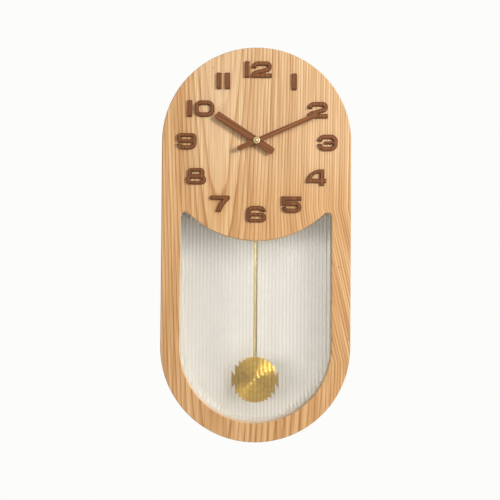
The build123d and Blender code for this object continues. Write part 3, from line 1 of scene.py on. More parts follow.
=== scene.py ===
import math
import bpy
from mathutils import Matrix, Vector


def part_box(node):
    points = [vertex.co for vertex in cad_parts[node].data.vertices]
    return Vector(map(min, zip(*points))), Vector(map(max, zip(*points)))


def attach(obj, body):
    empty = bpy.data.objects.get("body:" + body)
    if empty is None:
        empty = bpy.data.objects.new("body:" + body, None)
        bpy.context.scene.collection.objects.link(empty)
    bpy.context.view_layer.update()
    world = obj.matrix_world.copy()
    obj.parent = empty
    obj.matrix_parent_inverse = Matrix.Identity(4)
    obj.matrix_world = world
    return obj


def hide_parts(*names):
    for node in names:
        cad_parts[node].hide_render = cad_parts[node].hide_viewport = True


bl_info = {
    "name": "Pendulum Wall Clock",
    "version": (1, 0, 0),
    "blender": (4, 5, 0),
    "location": "3D View > Sidebar > Clock",
    "description": "Finishes, glass, pendulum and stage for a wooden pendulum wall clock",
    "category": "Object",
}

import bmesh
import bpy
from mathutils import Matrix, Vector

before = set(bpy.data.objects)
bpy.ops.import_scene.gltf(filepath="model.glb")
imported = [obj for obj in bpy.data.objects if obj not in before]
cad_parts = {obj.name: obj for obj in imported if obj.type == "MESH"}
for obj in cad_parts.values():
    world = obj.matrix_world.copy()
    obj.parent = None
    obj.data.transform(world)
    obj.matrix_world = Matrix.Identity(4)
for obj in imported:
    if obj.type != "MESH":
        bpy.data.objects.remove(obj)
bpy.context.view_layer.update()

# Row frame in metres: +Z up, the dial faces -Y, the origin is the wall hanger's keyhole.
BOARD_LOW, BOARD_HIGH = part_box("front_board")
DIAL_Y = BOARD_LOW.y
MIDDLE_Z = (BOARD_LOW.z + BOARD_HIGH.z) / 2
HALF_WIDTH = BOARD_HIGH.x
HAND_Z = sum(corner.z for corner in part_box("hand_cap_nut")) / 2
BOB_Z = sum(corner.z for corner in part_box("pendulum_bob")) / 2

# Straight sides of the outline end at these heights.
STADIUM_TOP = BOARD_HIGH.z - HALF_WIDTH
STADIUM_FOOT = BOARD_LOW.z + HALF_WIDTH

# The white lining ends inside the outer wall and short of the back.
LINING_REACH = HALF_WIDTH - 0.003
LINING_BACK = -0.0035

# Painted light: the window's cut edge, within this half width and behind the face, is paler by this
# share.
WINDOW_REACH = HALF_WIDTH - 0.015
CUT_FRONT = DIAL_Y + 0.0006
PAINTED_LIGHT_SHARE = 0.7

# Points of a mesh that are closer than this are one, and faces as level as this are flat.
SEAM = 1e-6
LEVEL_FACE = 0.99
LEVEL_HEAD = 0.999

# Ribs of the glass lie this far apart, with a crest on the middle line.
RIB_PITCH = 0.00425
RIB_RISE = 0.00065
RIB_FLATTEN = 0.8

# Painted shade: a darker line runs between two ribs. It starts and is full this far from the
# valley, in pitches, and its share grows between these X.
LINE_REACH = (0.24, 0.02)
LINE_SIDE = (-0.015, 0.03)
LINE_SHARE = (0.4, 0.85)
PAINTED_LINE_SHADE = (0.7, 0.69, 0.67, 1.0)
GLASS_TINT = (0.985, 0.99, 0.985, 1.0)

# Share of the lamps' light that passes straight through the pane
PANE_PASS = 0.5

# Section of the nut over the hands: radius, and height above its seat
NUT_PROFILE = (
    (0.0, 0.003),
    (0.0008, 0.00296),
    (0.0014, 0.0028),
    (0.0019, 0.0023),
    (0.0021, 0.0016),
    (0.0021, 0.0009),
    (0.0026, 0.0009),
    (0.0026, 0.0013),
    (0.0028, 0.0016),
    (0.0034, 0.0016),
    (0.0038, 0.0013),
    (0.0039, 0.0009),
    (0.0039, 0.0002),
    (0.0037, 0.0),
    (0.0017, 0.0),
    (0.0017, 0.0008),
    (0.0, 0.0008),
)

# Nodes of screws whose heads face the back, and the cross in a head of radius 1
SCREWS = (
    "hanger_screws",
    "back_panel_screws",
    "frame_screws",
    "clip_screws",
    "movement_screws",
    "cover_screws",
)
CROSS_REACH = 0.66
CROSS_SLIM = 0.75
CROSS_TAPER = 0.72
CROSS_DEPTH = 0.4

# Face edges of the numerals are rounded over this width and depth.
EDGE_WIDTH = 0.0006
EDGE_DROP = 0.0005

# Grain of the hands, in degrees clockwise from upright
HOUR_LEAN = 303.2
MINUTE_LEAN = 66.4

# The flame lightens the rings from its edge inward, measured from the pith, up to this share.
FLAME_EDGE = 0.065
FLAME_HEART = 0.0632
FLAME_SHARE = 0.6

# Painted shade, darker and yellower, starts and is full at these X on the left, and at these Z
# below.
SHADE_LEFT = (-0.058, -0.088)
SHADE_LOW = (-0.1, -0.17)

# From this Z down, over this length, the grain swings outward. The slope grows between these X.
SWING_TOP = -0.17
SWING_LENGTH = 0.18
SWING_SIDE = (-0.01, 0.1)
SWING_SLOPE = 0.24

# Small knots on the dial board: X, Z and size, and the share of plain wood left in their middle
KNOTS = ((-0.0515, -0.008, 0.0013), (0.0962, -0.2393, 0.0015), (0.1075, -0.322, 0.0012))
KNOT_REST = 0.55

# Small waves of the growth rings, and depth of the bump in grain
RING_TREMOR = 0.0011
GRAIN_DEPTH = 0.0001

# Depth of the bump in turned rings, and the pace of their tone, which changes more slowly
TURNED_DEPTH = 0.0002
TONE_PACE = 0.13

# Curvature, per metre, that the shading adds to the bob's crown
BOB_CURVE = 11.0

# Stage: the floor, a card that metal reflects, and where the lamps aim
FLOOR_Z = -0.95
FLOOR_RADIUS = 1.3
CARD_PLACE = (-0.85, -1.0, -0.2)
CARD_HALF = 0.65
LAMP_AIM = Vector((0, DIAL_Y, -0.19))
LAMP_TINT = (1.0, 0.985, 0.96)

# Camera: picture width in pixels, sensor in millimetres, shift in pixels, drop in metres, degrees
PICTURE = 500
SENSOR = 36
CAMERA_SHIFT_X = -5.8
CAMERA_SHIFT_Z = -5.0
CAMERA_DROP = 0.0168
CAMERA_TILT = 91.0
CAMERA_ROLL = -0.4

WHITE = (1.0, 1.0, 1.0, 1.0)


def srgb(red, green, blue):
    """A colour written from 0 to 255 as linear values."""

    def channel(value):
        value /= 255
        if value <= 0.04045:
            return value / 12.92
        return ((value + 0.055) / 1.055) ** 2.4

    return (channel(red), channel(green), channel(blue), 1.0)


def colour(name, description, red, green, blue):
    """A colour property with its default."""
    return bpy.props.FloatVectorProperty(
        name=name,
        description=description,
        size=4,
        subtype="COLOR",
        min=0,
        max=1,
        default=srgb(red, green, blue),
    )


def amount(name, description, default, unit="NONE", least=0):
    """A number property with its default, unit and least value."""
    return bpy.props.FloatProperty(
        name=name, description=description, default=default, min=least, unit=unit
    )


class ClockWoodSettings(bpy.types.PropertyGroup):
    """Colours of the woods and of the lining."""

    ash_pale: colour("Ash Pale", "Dense late wood between the pore lines", 249, 218, 177)
    ash_middle: colour("Ash Middle", "Body colour of the ash", 237, 195, 147)
    ash_pores: colour("Ash Pores", "Open pores at the start of each ring", 206, 158, 108)
    # Painted shade: a darker, yellower tint over the left side and the foot of the board
    ash_painted_shade: colour("Ash Ripe", "Tint of the riper wood at the left and below", 249, 239, 222)
    # Painted light: a pale colour that lifts the shade on the window's cut edge
    window_wall_painted_light: colour("Ash Cut", "Fresh wood in the window's cut edge", 253, 232, 202)
    walnut_pale: colour("Walnut Pale", "Light streaks in the walnut", 152, 96, 57)
    walnut_dark: colour("Walnut Dark", "Dark streaks in the walnut", 120, 72, 38)
    walnut_cut: colour("Walnut Cut", "Edges browned by the cutter", 68, 37, 17)
    lining: colour("Lining", "White paint inside the case", 242, 238, 231)
    ring_width: amount("Ring Width", "Growth of the tree in one year", 0.0026, "LENGTH", 0.001)


class ClockMetalSettings(bpy.types.PropertyGroup):
    """Colours of the metals."""

    brass: colour("Brass", "Lacquered brass of the bob", 228, 187, 90)
    rod_brass: colour("Rod Brass", "Drawn brass of the rod", 229, 207, 145)
    pale_brass: colour("Pale Brass", "Brass of the nut over the hands", 208, 190, 148)
    zinc: colour("Zinc", "Plated steel of the hanger, clips and screws", 196, 196, 192)


class ClockStageSettings(bpy.types.PropertyGroup):
    """Light, backdrop and camera."""

    key_power: amount("Key Power", "Power of the lamp at the upper right", 12.5, "POWER")
    front_power: amount("Front Power", "Power of the broad lamp in front", 10.0, "POWER")
    panel_power: amount("Panel Power", "Power of the lamp on the back panel alone", 56.0, "POWER")
    back_power: amount("Back Power", "Power of the broad lamp behind", 16.0, "POWER")
    fill: amount("Fill", "Strength of the even light from all round", 0.15)
    backdrop: colour("Backdrop", "Background that the camera sees", 252, 252, 250)
    distance: amount("Camera Distance", "From the camera to the dial", 0.9, "LENGTH", 0.2)
    span: amount("Picture Span", "Width of the picture at the dial", 0.579, "LENGTH", 0.1)


def add_node(tree, kind, inputs=None, **settings):
    """Add a node, set it up and join its inputs, which are values or other nodes' outputs."""
    made = tree.nodes.new(kind)
    for key, value in settings.items():
        setattr(made, key, value)
    for key, value in (inputs or {}).items():
        if isinstance(value, bpy.types.NodeSocket):
            tree.links.new(value, made.inputs[key])
        else:
            made.inputs[key].default_value = value
    return made


def calculate(tree, operation, first, second=0.0, third=0.0):
    """Output of a Math node."""
    inputs = {0: first, 1: second, 2: third}
    return add_node(tree, "ShaderNodeMath", inputs, operation=operation).outputs[0]


def square_sum(tree, first, second):
    """Sum of two squares."""
    square = calculate(tree, "MULTIPLY", second, second)
    return calculate(tree, "MULTIPLY_ADD", first, first, square)


def map_range(tree, value, start, end, low=0.0, high=1.0, kind="LINEAR"):
    """A value between start and end, mapped to between low and high."""
    inputs = {"Value": value, "From Min": start, "From Max": end, "To Min": low, "To Max": high}
    return add_node(tree, "ShaderNodeMapRange", inputs, interpolation_type=kind).outputs[0]


def split_axes(tree, vector):
    """Outputs X, Y and Z of a vector."""
    return add_node(tree, "ShaderNodeSeparateXYZ", {0: vector}).outputs


def ramp(tree, factor, stops):
    """Output of a colour ramp with these (place, colour) stops."""
    made = add_node(tree, "ShaderNodeValToRGB", {"Fac": factor})
    elements = made.color_ramp.elements
    while len(elements) < len(stops):
        elements.new(0.5)
    for element, (place, tint) in zip(elements, stops):
        element.position = place
        element.color = tint
    return made.outputs["Color"]


def blend_colours(tree, factor, first, second, blend_type="MIX"):
    """Output of a colour mix."""
    inputs = {0: factor, 6: first, 7: second}
    made = add_node(tree, "ShaderNodeMix", inputs, data_type="RGBA", blend_type=blend_type)
    return made.outputs[2]


def darken(tree, base, value, stops, share=1.0):
    """A colour times a ramp over a value."""
    return blend_colours(tree, share, base, ramp(tree, value, stops), "MULTIPLY")


def noise(tree, vector, scale, detail, roughness):
    """Value of a noise texture."""
    inputs = {"Vector": vector, "Scale": scale, "Detail": detail, "Roughness": roughness}
    return add_node(tree, "ShaderNodeTexNoise", inputs).outputs[0]


def stretched_noise(tree, vector, scales, detail, roughness):
    """Value of a noise texture with a scale for each axis."""
    made = add_node(tree, "ShaderNodeVectorMath", {0: vector, 1: scales}, operation="MULTIPLY")
    return noise(tree, made.outputs[0], 1.0, detail, roughness)


def line_noise(tree, place, detail):
    """Value of a noise along a line."""
    inputs = {"W": place, "Scale": 1.0, "Detail": detail}
    return add_node(tree, "ShaderNodeTexNoise", inputs, noise_dimensions="1D").outputs[0]


def object_space(tree):
    """Object coordinates of the piece."""
    return add_node(tree, "ShaderNodeTexCoord").outputs["Object"]


def new_group(name, numbers, outputs):
    """A node group with a vector and these numbers as inputs, its inputs and its output node."""
    group = bpy.data.node_groups.new(name, "ShaderNodeTree")
    group.interface.new_socket("Vector", in_out="INPUT", socket_type="NodeSocketVector")
    for socket, default in numbers.items():
        made = group.interface.new_socket(socket, in_out="INPUT", socket_type="NodeSocketFloat")
        made.default_value = default
    for socket in outputs:
        group.interface.new_socket(socket, in_out="OUTPUT", socket_type="NodeSocketFloat")
    return group, group.nodes.new("NodeGroupInput").outputs, group.nodes.new("NodeGroupOutput")


def hand_out(group, result, **values):
    """Join values to a group's outputs."""
    for name, value in values.items():
        group.links.new(value, result.inputs[name])


def wood_figure_group():
    """Growth rings round a leaning pith, with fine streaks along the grain, which runs along Z."""
    found = bpy.data.node_groups.get("Wood Figure")
    if found:
        return found
    group, given, result = new_group(
        "Wood Figure",
        {"Pith X": 0.0, "Pith Depth": 0.06, "Lean": 0.02, "Ring Width": 0.0046, "Wander": 0.004},
        ["Radius", "Ring", "Year", "Band", "Streak", "Pore"],
    )
    place = given["Vector"]
    slow = stretched_noise(group, place, (16, 16, 3.4), 2.0, 0.45)
    drift = calculate(group, "SUBTRACT", slow, 0.5)
    quick = stretched_noise(group, place, (120, 120, 9), 2.0, 0.5)
    tremor = calculate(group, "SUBTRACT", quick, 0.5)
    axes = split_axes(group, place)
    across = calculate(group, "SUBTRACT", axes["X"], given["Pith X"])
    lean = calculate(group, "MULTIPLY", axes["Z"], given["Lean"])
    deep = calculate(group, "ADD", axes["Y"], given["Pith Depth"])
    deep = calculate(group, "SUBTRACT", deep, lean)
    radius = calculate(group, "SQRT", square_sum(group, deep, across))
    bent = calculate(group, "MULTIPLY_ADD", drift, given["Wander"], radius)
    bent = calculate(group, "MULTIPLY_ADD", tremor, RING_TREMOR, bent)
    turn = calculate(group, "DIVIDE", bent, given["Ring Width"])
    whole = {"W": calculate(group, "FLOOR", turn)}
    year = add_node(group, "ShaderNodeTexWhiteNoise", whole, noise_dimensions="1D")
    hand_out(
        group,
        result,
        Radius=bent,
        Ring=calculate(group, "FRACT", turn),
        Year=year.outputs["Value"],
        Band=stretched_noise(group, place, (190, 190, 2.6), 2.0, 0.5),
        Streak=stretched_noise(group, place, (700, 700, 9), 3.0, 0.65),
        Pore=stretched_noise(group, place, (1500, 1500, 60), 1.0, 0.5),
    )
    return group


def turned_rings_group():
    """Fine turned rings round an axis along Y, and the square of the distance from it."""
    found = bpy.data.node_groups.get("Turned Rings")
    if found:
        return found
    group, given, result = new_group(
        "Turned Rings",
        {"Centre X": 0.0, "Centre Z": 0.0, "Pitch": 0.0004},
        ["Height", "Tone", "Square"],
    )
    axes = split_axes(group, given["Vector"])
    across = calculate(group, "SUBTRACT", axes["X"], given["Centre X"])
    up = calculate(group, "SUBTRACT", axes["Z"], given["Centre Z"])
    square = square_sum(group, up, across)
    turn = calculate(group, "DIVIDE", calculate(group, "SQRT", square), given["Pitch"])
    tone = line_noise(group, calculate(group, "MULTIPLY", turn, TONE_PACE), 1.0)
    hand_out(group, result, Height=line_noise(group, turn, 2.0), Tone=tone, Square=square)
    return group


def surface_group():
    """Slow patches and fine grain for plain finishes such as paint, plastic and plating."""
    found = bpy.data.node_groups.get("Surface Grain")
    if found:
        return found
    group, given, result = new_group(
        "Surface Grain", {"Grain Scale": 900.0, "Patch Scale": 45.0}, ["Grain", "Patch"]
    )
    grain = noise(group, given["Vector"], given["Grain Scale"], 2.0, 0.6)
    patch = noise(group, given["Vector"], given["Patch Scale"], 3.0, 0.55)
    hand_out(group, result, Grain=grain, Patch=patch)
    return group


def place_group(tree, group, **inputs):
    """Outputs of a placed node group, with input names written with underscores for spaces."""
    named = {key.replace("_", " "): value for key, value in inputs.items()}
    return add_node(tree, "ShaderNodeGroup", named, node_tree=group).outputs


def new_material(name, **settings):
    """A material with a Principled shader, whose plain values are set on its own sockets."""
    material = bpy.data.materials.new(name)
    material.use_nodes = True
    shader = material.node_tree.nodes["Principled BSDF"]
    for key, value in settings.items():
        shader.inputs[key.replace("_", " ")].default_value = value
    return material, material.node_tree, shader


def vary_roughness(tree, shader, value, low, high):
    """Let the shader's roughness follow a value from 0 to 1."""
    rough = map_range(tree, value, 0.0, 1.0, low, high)
    tree.links.new(rough, shader.inputs["Roughness"])


def bump(tree, shader, height, strength, distance, **under):
    """Join a height to the shader's normal, over another normal if one is given."""
    inputs = {"Height": height, "Strength": strength, "Distance": distance, **under}
    made = add_node(tree, "ShaderNodeBump", inputs)
    tree.links.new(made.outputs["Normal"], shader.inputs["Normal"])


def mix_surface(tree, factor, first, second):
    """Make the surface a mix of two shader nodes."""
    inputs = {0: factor, 1: first.outputs[0], 2: second.outputs[0]}
    mixed = add_node(tree, "ShaderNodeMixShader", inputs)
    tree.links.new(mixed.outputs[0], tree.nodes["Material Output"].inputs["Surface"])


def swung_grain(tree):
    """Object coordinates whose grain swings outward down the right side of the window."""
    axes = split_axes(tree, object_space(tree))
    below = calculate(tree, "SUBTRACT", SWING_TOP, axes["Z"])
    below = calculate(tree, "MAXIMUM", below, 0.0)
    below = calculate(tree, "MINIMUM", below, SWING_LENGTH)
    side = map_range(tree, axes["X"], *SWING_SIDE, 0.0, SWING_SLOPE, "SMOOTHSTEP")
    shift = calculate(tree, "MULTIPLY", below, side)
    across = calculate(tree, "SUBTRACT", axes["X"], shift)
    swung = {"X": across, "Y": axes["Y"], "Z": axes["Z"]}
    return add_node(tree, "ShaderNodeCombineXYZ", swung).outputs[0]


def knot_mask(tree):
    """One away from the small knots, and less on them."""
    clear = None
    for x, z, size in KNOTS:
        ends = {0: object_space(tree), 1: (x, DIAL_Y, z)}
        away = add_node(tree, "ShaderNodeVectorMath", ends, operation="DISTANCE")
        ring = map_range(tree, away.outputs["Value"], size / 2, size, KNOT_REST)
        clear = ring if clear is None else calculate(tree, "MULTIPLY", clear, ring)
    return clear


def painted_shade_mask(tree):
    """Share of painted shade, darker and yellower: full at the left edge and from the dial's foot
    down.
    """
    axes = split_axes(tree, object_space(tree))
    left = map_range(tree, axes["X"], *SHADE_LEFT, kind="SMOOTHSTEP")
    low = map_range(tree, axes["Z"], *SHADE_LOW, kind="SMOOTHSTEP")
    return calculate(tree, "MAXIMUM", left, low)


def ash_colour(tree, wood):
    """Colour and figure of oiled ash, with a flame of late wood left of the hands."""
    figure = place_group(
        tree,
        wood_figure_group(),
        Vector=swung_grain(tree),
        Pith_X=-0.0438,
        Pith_Depth=0.1122,
        Lean=0.032,
        Ring_Width=wood.ring_width,
        Wander=0.003,
    )
    pale, middle, pores = tuple(wood.ash_pale), tuple(wood.ash_middle), tuple(wood.ash_pores)
    ring = ramp(
        tree,
        figure["Ring"],
        [(0.0, middle), (0.09, pores), (0.26, middle), (0.6, pale), (0.94, pale)],
    )
    years = [(0.0, srgb(238, 228, 214)), (1.0, srgb(255, 254, 252))]
    toned = darken(tree, ring, figure["Year"], years)
    flame = map_range(tree, figure["Radius"], FLAME_EDGE, FLAME_HEART, 0.0, FLAME_SHARE)
    toned = blend_colours(tree, flame, toned, pale)
    bands = [(0.34, srgb(240, 230, 216)), (0.66, WHITE)]
    banded = darken(tree, toned, figure["Band"], bands)
    streaks = [(0.36, srgb(222, 205, 184)), (0.54, WHITE)]
    streaked = darken(tree, banded, figure["Streak"], streaks, 0.9)
    # Painted shade: the left side and the foot are tinted darker and yellower.
    with_painted_shade = blend_colours(tree, painted_shade_mask(tree), streaked, tuple(wood.ash_painted_shade), "MULTIPLY")
    dark = blend_colours(tree, 1.0, with_painted_shade, srgb(120, 84, 52), "MULTIPLY")
    return blend_colours(tree, knot_mask(tree), dark, with_painted_shade), figure


def within_outline(tree, axes, reach):
    """One inside a round-ended outline of this half width, and zero outside it."""
    straight = calculate(tree, "MINIMUM", axes["Z"], STADIUM_TOP)
    straight = calculate(tree, "MAXIMUM", straight, STADIUM_FOOT)
    past = calculate(tree, "SUBTRACT", axes["Z"], straight)
    return calculate(tree, "LESS_THAN", square_sum(tree, axes["X"], past), reach**2)


def ash_material(scene, name, reach, side, depth, share, tint):
    """Oiled ash that takes on a share of a tint within a reach and on one side of a depth."""
    material, tree, shader = new_material(name, Coat_Weight=0.05, Coat_Roughness=0.4)
    base, figure = ash_colour(tree, scene.clock_wood)
    axes = split_axes(tree, object_space(tree))
    layer = calculate(tree, side, axes["Y"], depth)
    zone = calculate(tree, "MULTIPLY", within_outline(tree, axes, reach), layer)
    zone = calculate(tree, "MULTIPLY", zone, share)
    tree.links.new(blend_colours(tree, zone, base, tint), shader.inputs["Base Color"])
    vary_roughness(tree, shader, figure["Streak"], 0.66, 0.5)
    height = calculate(tree, "ADD", figure["Streak"], figure["Pore"])
    bump(tree, shader, height, 0.2, GRAIN_DEPTH)
    return material


def walnut_material(scene, name, lean, edge):
    """Oiled walnut with browned edges, whose grain leans clockwise from upright on the dial."""
    wood = scene.clock_wood
    material, tree, shader = new_material(name, Specular_IOR_Level=0.25)
    centred = {"Vector": object_space(tree), "Location": (0, 0, -HAND_Z)}
    moved = add_node(tree, "ShaderNodeMapping", centred)
    upright = {"Vector": moved.outputs[0], "Rotation": (0, -math.radians(lean), 0)}
    turned = add_node(tree, "ShaderNodeMapping", upright)
    figure = place_group(
        tree,
        wood_figure_group(),
        Vector=turned.outputs[0],
        Pith_X=0.03,
        Pith_Depth=0.09,
        Lean=0.05,
        Ring_Width=0.0032,
        Wander=0.006,
    )
    dark, pale = tuple(wood.walnut_dark), tuple(wood.walnut_pale)
    ring = ramp(tree, figure["Ring"], [(0.0, dark), (0.5, pale), (1.0, dark)])
    streaks = [(0.35, srgb(206, 196, 190)), (0.62, WHITE)]
    face = darken(tree, ring, figure["Streak"], streaks, 0.8)
    slope = split_axes(tree, add_node(tree, "ShaderNodeTexCoord").outputs["Normal"])
    flat = map_range(tree, slope["Y"], -0.6, -0.95)
    cut = blend_colours(tree, flat, tuple(edge), face)
    tree.links.new(cut, shader.inputs["Base Color"])
    vary_roughness(tree, shader, figure["Pore"], 0.62, 0.48)
    bump(tree, shader, figure["Streak"], 0.15, GRAIN_DEPTH)
    return material


def plain_material(name, base, low, high, strength, grain_scale=900.0, **settings):
    """A plain finish whose gloss varies between two roughnesses over slow patches."""
    material, tree, shader = new_material(name, **settings)
    grain = place_group(
        tree, surface_group(), Vector=object_space(tree), Grain_Scale=grain_scale
    )
    tint = darken(tree, base, grain["Patch"], [(0.3, srgb(249, 249, 249)), (0.7, WHITE)])
    tree.links.new(tint, shader.inputs["Base Color"])
    vary_roughness(tree, shader, grain["Patch"], low, high)
    bump(tree, shader, grain["Grain"], strength, GRAIN_DEPTH)
    return material


def turned_material(name, base, center_z, pitch, low, high, strength, drawn, curve=0.0):
    """Metal with fine turned rings round a centre, shaded as if crowned by this curvature more."""
    material, tree, shader = new_material(
        name, Metallic=1.0, Anisotropic=drawn, Anisotropic_Rotation=0.25
    )
    tangent = add_node(tree, "ShaderNodeTangent", direction_type="RADIAL", axis="Y")
    tree.links.new(tangent.outputs[0], shader.inputs["Tangent"])
    rings = place_group(
        tree, turned_rings_group(), Vector=object_space(tree), Centre_Z=center_z, Pitch=pitch
    )
    tint = darken(tree, base, rings["Tone"], [(0.3, srgb(226, 222, 214)), (0.7, WHITE)])
    tree.links.new(tint, shader.inputs["Base Color"])
    vary_roughness(tree, shader, rings["Tone"], low, high)
    under = {}
    if curve:
        rise = calculate(tree, "MULTIPLY", rings["Square"], -curve / 2)
        crown = {"Height": rise, "Strength": 1.0, "Distance": 1.0}
        under["Normal"] = add_node(tree, "ShaderNodeBump", crown).outputs["Normal"]
    bump(tree, shader, rings["Height"], strength, TURNED_DEPTH, **under)
    return material


def rib_painted_shade(tree):
    """Tint of the glass with painted shade: a thin darker line between ribs, stronger in the right
    half.
    """
    axes = split_axes(tree, object_space(tree))
    turn = calculate(tree, "DIVIDE", axes["X"], RIB_PITCH)
    past = calculate(tree, "SUBTRACT", calculate(tree, "FRACT", turn), 0.5)
    away = calculate(tree, "ABSOLUTE", past)
    valley = map_range(tree, away, *LINE_REACH, kind="SMOOTHSTEP")
    side = map_range(tree, axes["X"], *LINE_SIDE, *LINE_SHARE)
    share = calculate(tree, "MULTIPLY", valley, side)
    return blend_colours(tree, share, GLASS_TINT, PAINTED_LINE_SHADE)


def glass_material():
    """Clear ribbed glass with painted shade between its ribs, which lets part of the lamps' light
    straight through.
    """
    material, tree, shader = new_material(
        "Ribbed Glass", Roughness=0.02, IOR=1.5, Transmission_Weight=1.0
    )
    tree.links.new(rib_painted_shade(tree), shader.inputs["Base Color"])
    grey = (PANE_PASS, PANE_PASS, PANE_PASS, 1.0)
    through = add_node(tree, "ShaderNodeBsdfTransparent", {"Color": grey})
    path = add_node(tree, "ShaderNodeLightPath")
    mix_surface(tree, path.outputs["Is Shadow Ray"], shader, through)
    return material


def battery_material():
    """Cell with a blue jacket, a copper band at one end and bare steel ends."""
    low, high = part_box("battery")
    material, tree, shader = new_material("Battery Jacket", Metallic=0.6)
    along = map_range(tree, split_axes(tree, object_space(tree))["X"], low.x, high.x)
    steel = srgb(188, 188, 184)
    blue = srgb(48, 66, 104)
    copper = srgb(196, 132, 84)
    band = ramp(
        tree,
        along,
        [
            (0.02, steel),
            (0.022, blue),
            (0.7, blue),
            (0.702, copper),
            (0.955, copper),
            (0.957, steel),
        ],
    )
    tree.links.new(band, shader.inputs["Base Color"])
    grain = place_group(tree, surface_group(), Vector=object_space(tree))
    vary_roughness(tree, shader, grain["Patch"], 0.26, 0.4)
    return material


def paint(material, *nodes):
    """Give CAD nodes this finish."""
    for name in nodes:
        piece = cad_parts[name]
        if not piece.material_slots:
            piece.data.materials.append(material)
        for held in piece.material_slots:
            held.material = material


def copy_mesh(name):
    """A copy of a CAD node's mesh with its seams joined."""
    mesh = bmesh.new()
    mesh.from_mesh(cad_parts[name].data)
    bmesh.ops.remove_doubles(mesh, verts=mesh.verts, dist=SEAM)
    return mesh


def finish_mesh(mesh, name, crease=35):
    """Turn a bmesh into an object at the origin, creased where it bends by this many degrees."""
    for face in mesh.faces:
        face.smooth = True
    for edge in mesh.edges:
        edge.smooth = edge.calc_face_angle(0) < math.radians(crease)
    data = bpy.data.meshes.new(name)
    mesh.to_mesh(data)
    mesh.free()
    piece = bpy.data.objects.new(name, data)
    bpy.context.scene.collection.objects.link(piece)
    return piece


class CLOCK_OT_case(bpy.types.Operator):
    """Ash dial board and frame, and the painted back panel"""

    bl_idname = "clock.case"
    bl_label = "Case"

    def execute(self, context):
        scene = context.scene
        # The board's window wall takes painted light; the frame's inside takes its white lining.
        cut = tuple(scene.clock_wood.window_wall_painted_light)
        lining = tuple(scene.clock_wood.lining)
        board = ash_material(
            scene, "Oiled Ash", WINDOW_REACH, "GREATER_THAN", CUT_FRONT, PAINTED_LIGHT_SHARE, cut
        )
        paint(board, "front_board")
        lined = ash_material(
            scene, "White-Lined Ash", LINING_REACH, "LESS_THAN", LINING_BACK, 1.0, lining
        )
        paint(lined, "case_frame")
        white = plain_material("White Paint", lining, 0.5, 0.62, 0.08, 700.0)
        paint(white, "back_panel")
        return {"FINISHED"}


class CLOCK_OT_numerals(bpy.types.Operator):
    """Walnut numerals"""

    bl_idname = "clock.numerals"
    bl_label = "Numerals"

    def execute(self, context):
        edge = context.scene.clock_wood.walnut_cut
        walnut = walnut_material(context.scene, "Numeral Walnut", 0, edge)
        for number in range(1, 13):
            name = f"numeral_{number}"
            piece = self.break_edges(name)
            piece.data.materials.append(walnut)
            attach(piece, "case")
            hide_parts(name)
        return {"FINISHED"}

    def break_edges(self, name):
        """Copy of the CAD numeral whose face edges are rounded more widely."""
        mesh = copy_mesh(name)
        front = [face for face in mesh.faces if face.normal.y < -LEVEL_FACE]
        bmesh.ops.inset_region(
            mesh,
            faces=front,
            thickness=EDGE_WIDTH,
            depth=0,
            use_boundary=True,
            use_even_offset=True,
        )
        inner = {vert for face in front for vert in face.verts}
        rim = {
            vert
            for face in front
            for edge in face.edges
            for near in edge.link_faces
            if near not in front
            for vert in near.verts
            if vert not in inner
        }
        bmesh.ops.translate(mesh, verts=list(rim), vec=(0, EDGE_DROP, 0))
        bmesh.ops.recalc_face_normals(mesh, faces=mesh.faces)
        return finish_mesh(mesh, f"walnut_{name}", crease=25)


class CLOCK_OT_hands(bpy.types.Operator):
    """Walnut hands, their brass bushes and the nut over them"""

    bl_idname = "clock.hands"
    bl_label = "Hands"

    def execute(self, context):
        scene = context.scene
        edge = scene.clock_wood.walnut_dark
        paint(walnut_material(scene, "Hour Hand Walnut", HOUR_LEAN, edge), "hour_hand")
        paint(walnut_material(scene, "Minute Hand Walnut", MINUTE_LEAN, edge), "minute_hand")
        brass = turned_material(
            "Nut Brass",
            tuple(scene.clock_metal.pale_brass),
            center_z=HAND_Z,
            pitch=0.0003,
            low=0.42,
            high=0.54,
            strength=0.1,
            drawn=0.3,
        )
        paint(brass, "hour_hand_bush", "minute_hand_bush", "center_bush", "center_wheel")
        nut = self.turn_nut()
        nut.data.materials.append(brass)
        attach(nut, "minute_hand")
        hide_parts("hand_cap_nut")
        return {"FINISHED"}

    def turn_nut(self):
        """Nut with a groove round its domed middle, on the seat of the CAD nut."""
        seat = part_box("hand_cap_nut")[1].y
        mesh = bmesh.new()
        last = None
        for radius, tall in NUT_PROFILE:
            point = bmesh.ops.create_vert(mesh, co=(radius, seat - tall, HAND_Z))["vert"][0]
            if last:
                bmesh.ops.contextual_create(mesh, geom=[last, point])
            last = point
        bmesh.ops.spin(
            mesh,
            geom=mesh.verts[:] + mesh.edges[:],
            cent=(0, 0, HAND_Z),
            axis=(0, 1, 0),
            angle=math.tau,
            steps=72,
            use_merge=True,
        )
        bmesh.ops.remove_doubles(mesh, verts=mesh.verts, dist=SEAM)
        bmesh.ops.recalc_face_normals(mesh, faces=mesh.faces)
        return finish_mesh(mesh, "grooved_nut", crease=40)


class CLOCK_OT_glass(bpy.types.Operator):
    """Ribbed glass behind the window"""

    bl_idname = "clock.glass"
    bl_label = "Glass"

    def execute(self, context):
        mesh = copy_mesh("fluted_glass")
        front = min(vert.co.y for vert in mesh.verts)
        ribs = [vert for vert in mesh.verts if vert.co.y < front + RIB_RISE + 1e-5]
        valley = Matrix.Translation((0, -front - RIB_RISE, 0))
        bmesh.ops.scale(mesh, verts=ribs, vec=(1, RIB_FLATTEN, 1), space=valley)
        bmesh.ops.recalc_face_normals(mesh, faces=mesh.faces)
        glass = finish_mesh(mesh, "ribbed_glass", crease=40)
        glass.data.materials.append(glass_material())
        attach(glass, "case")
        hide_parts("fluted_glass")
        return {"FINISHED"}


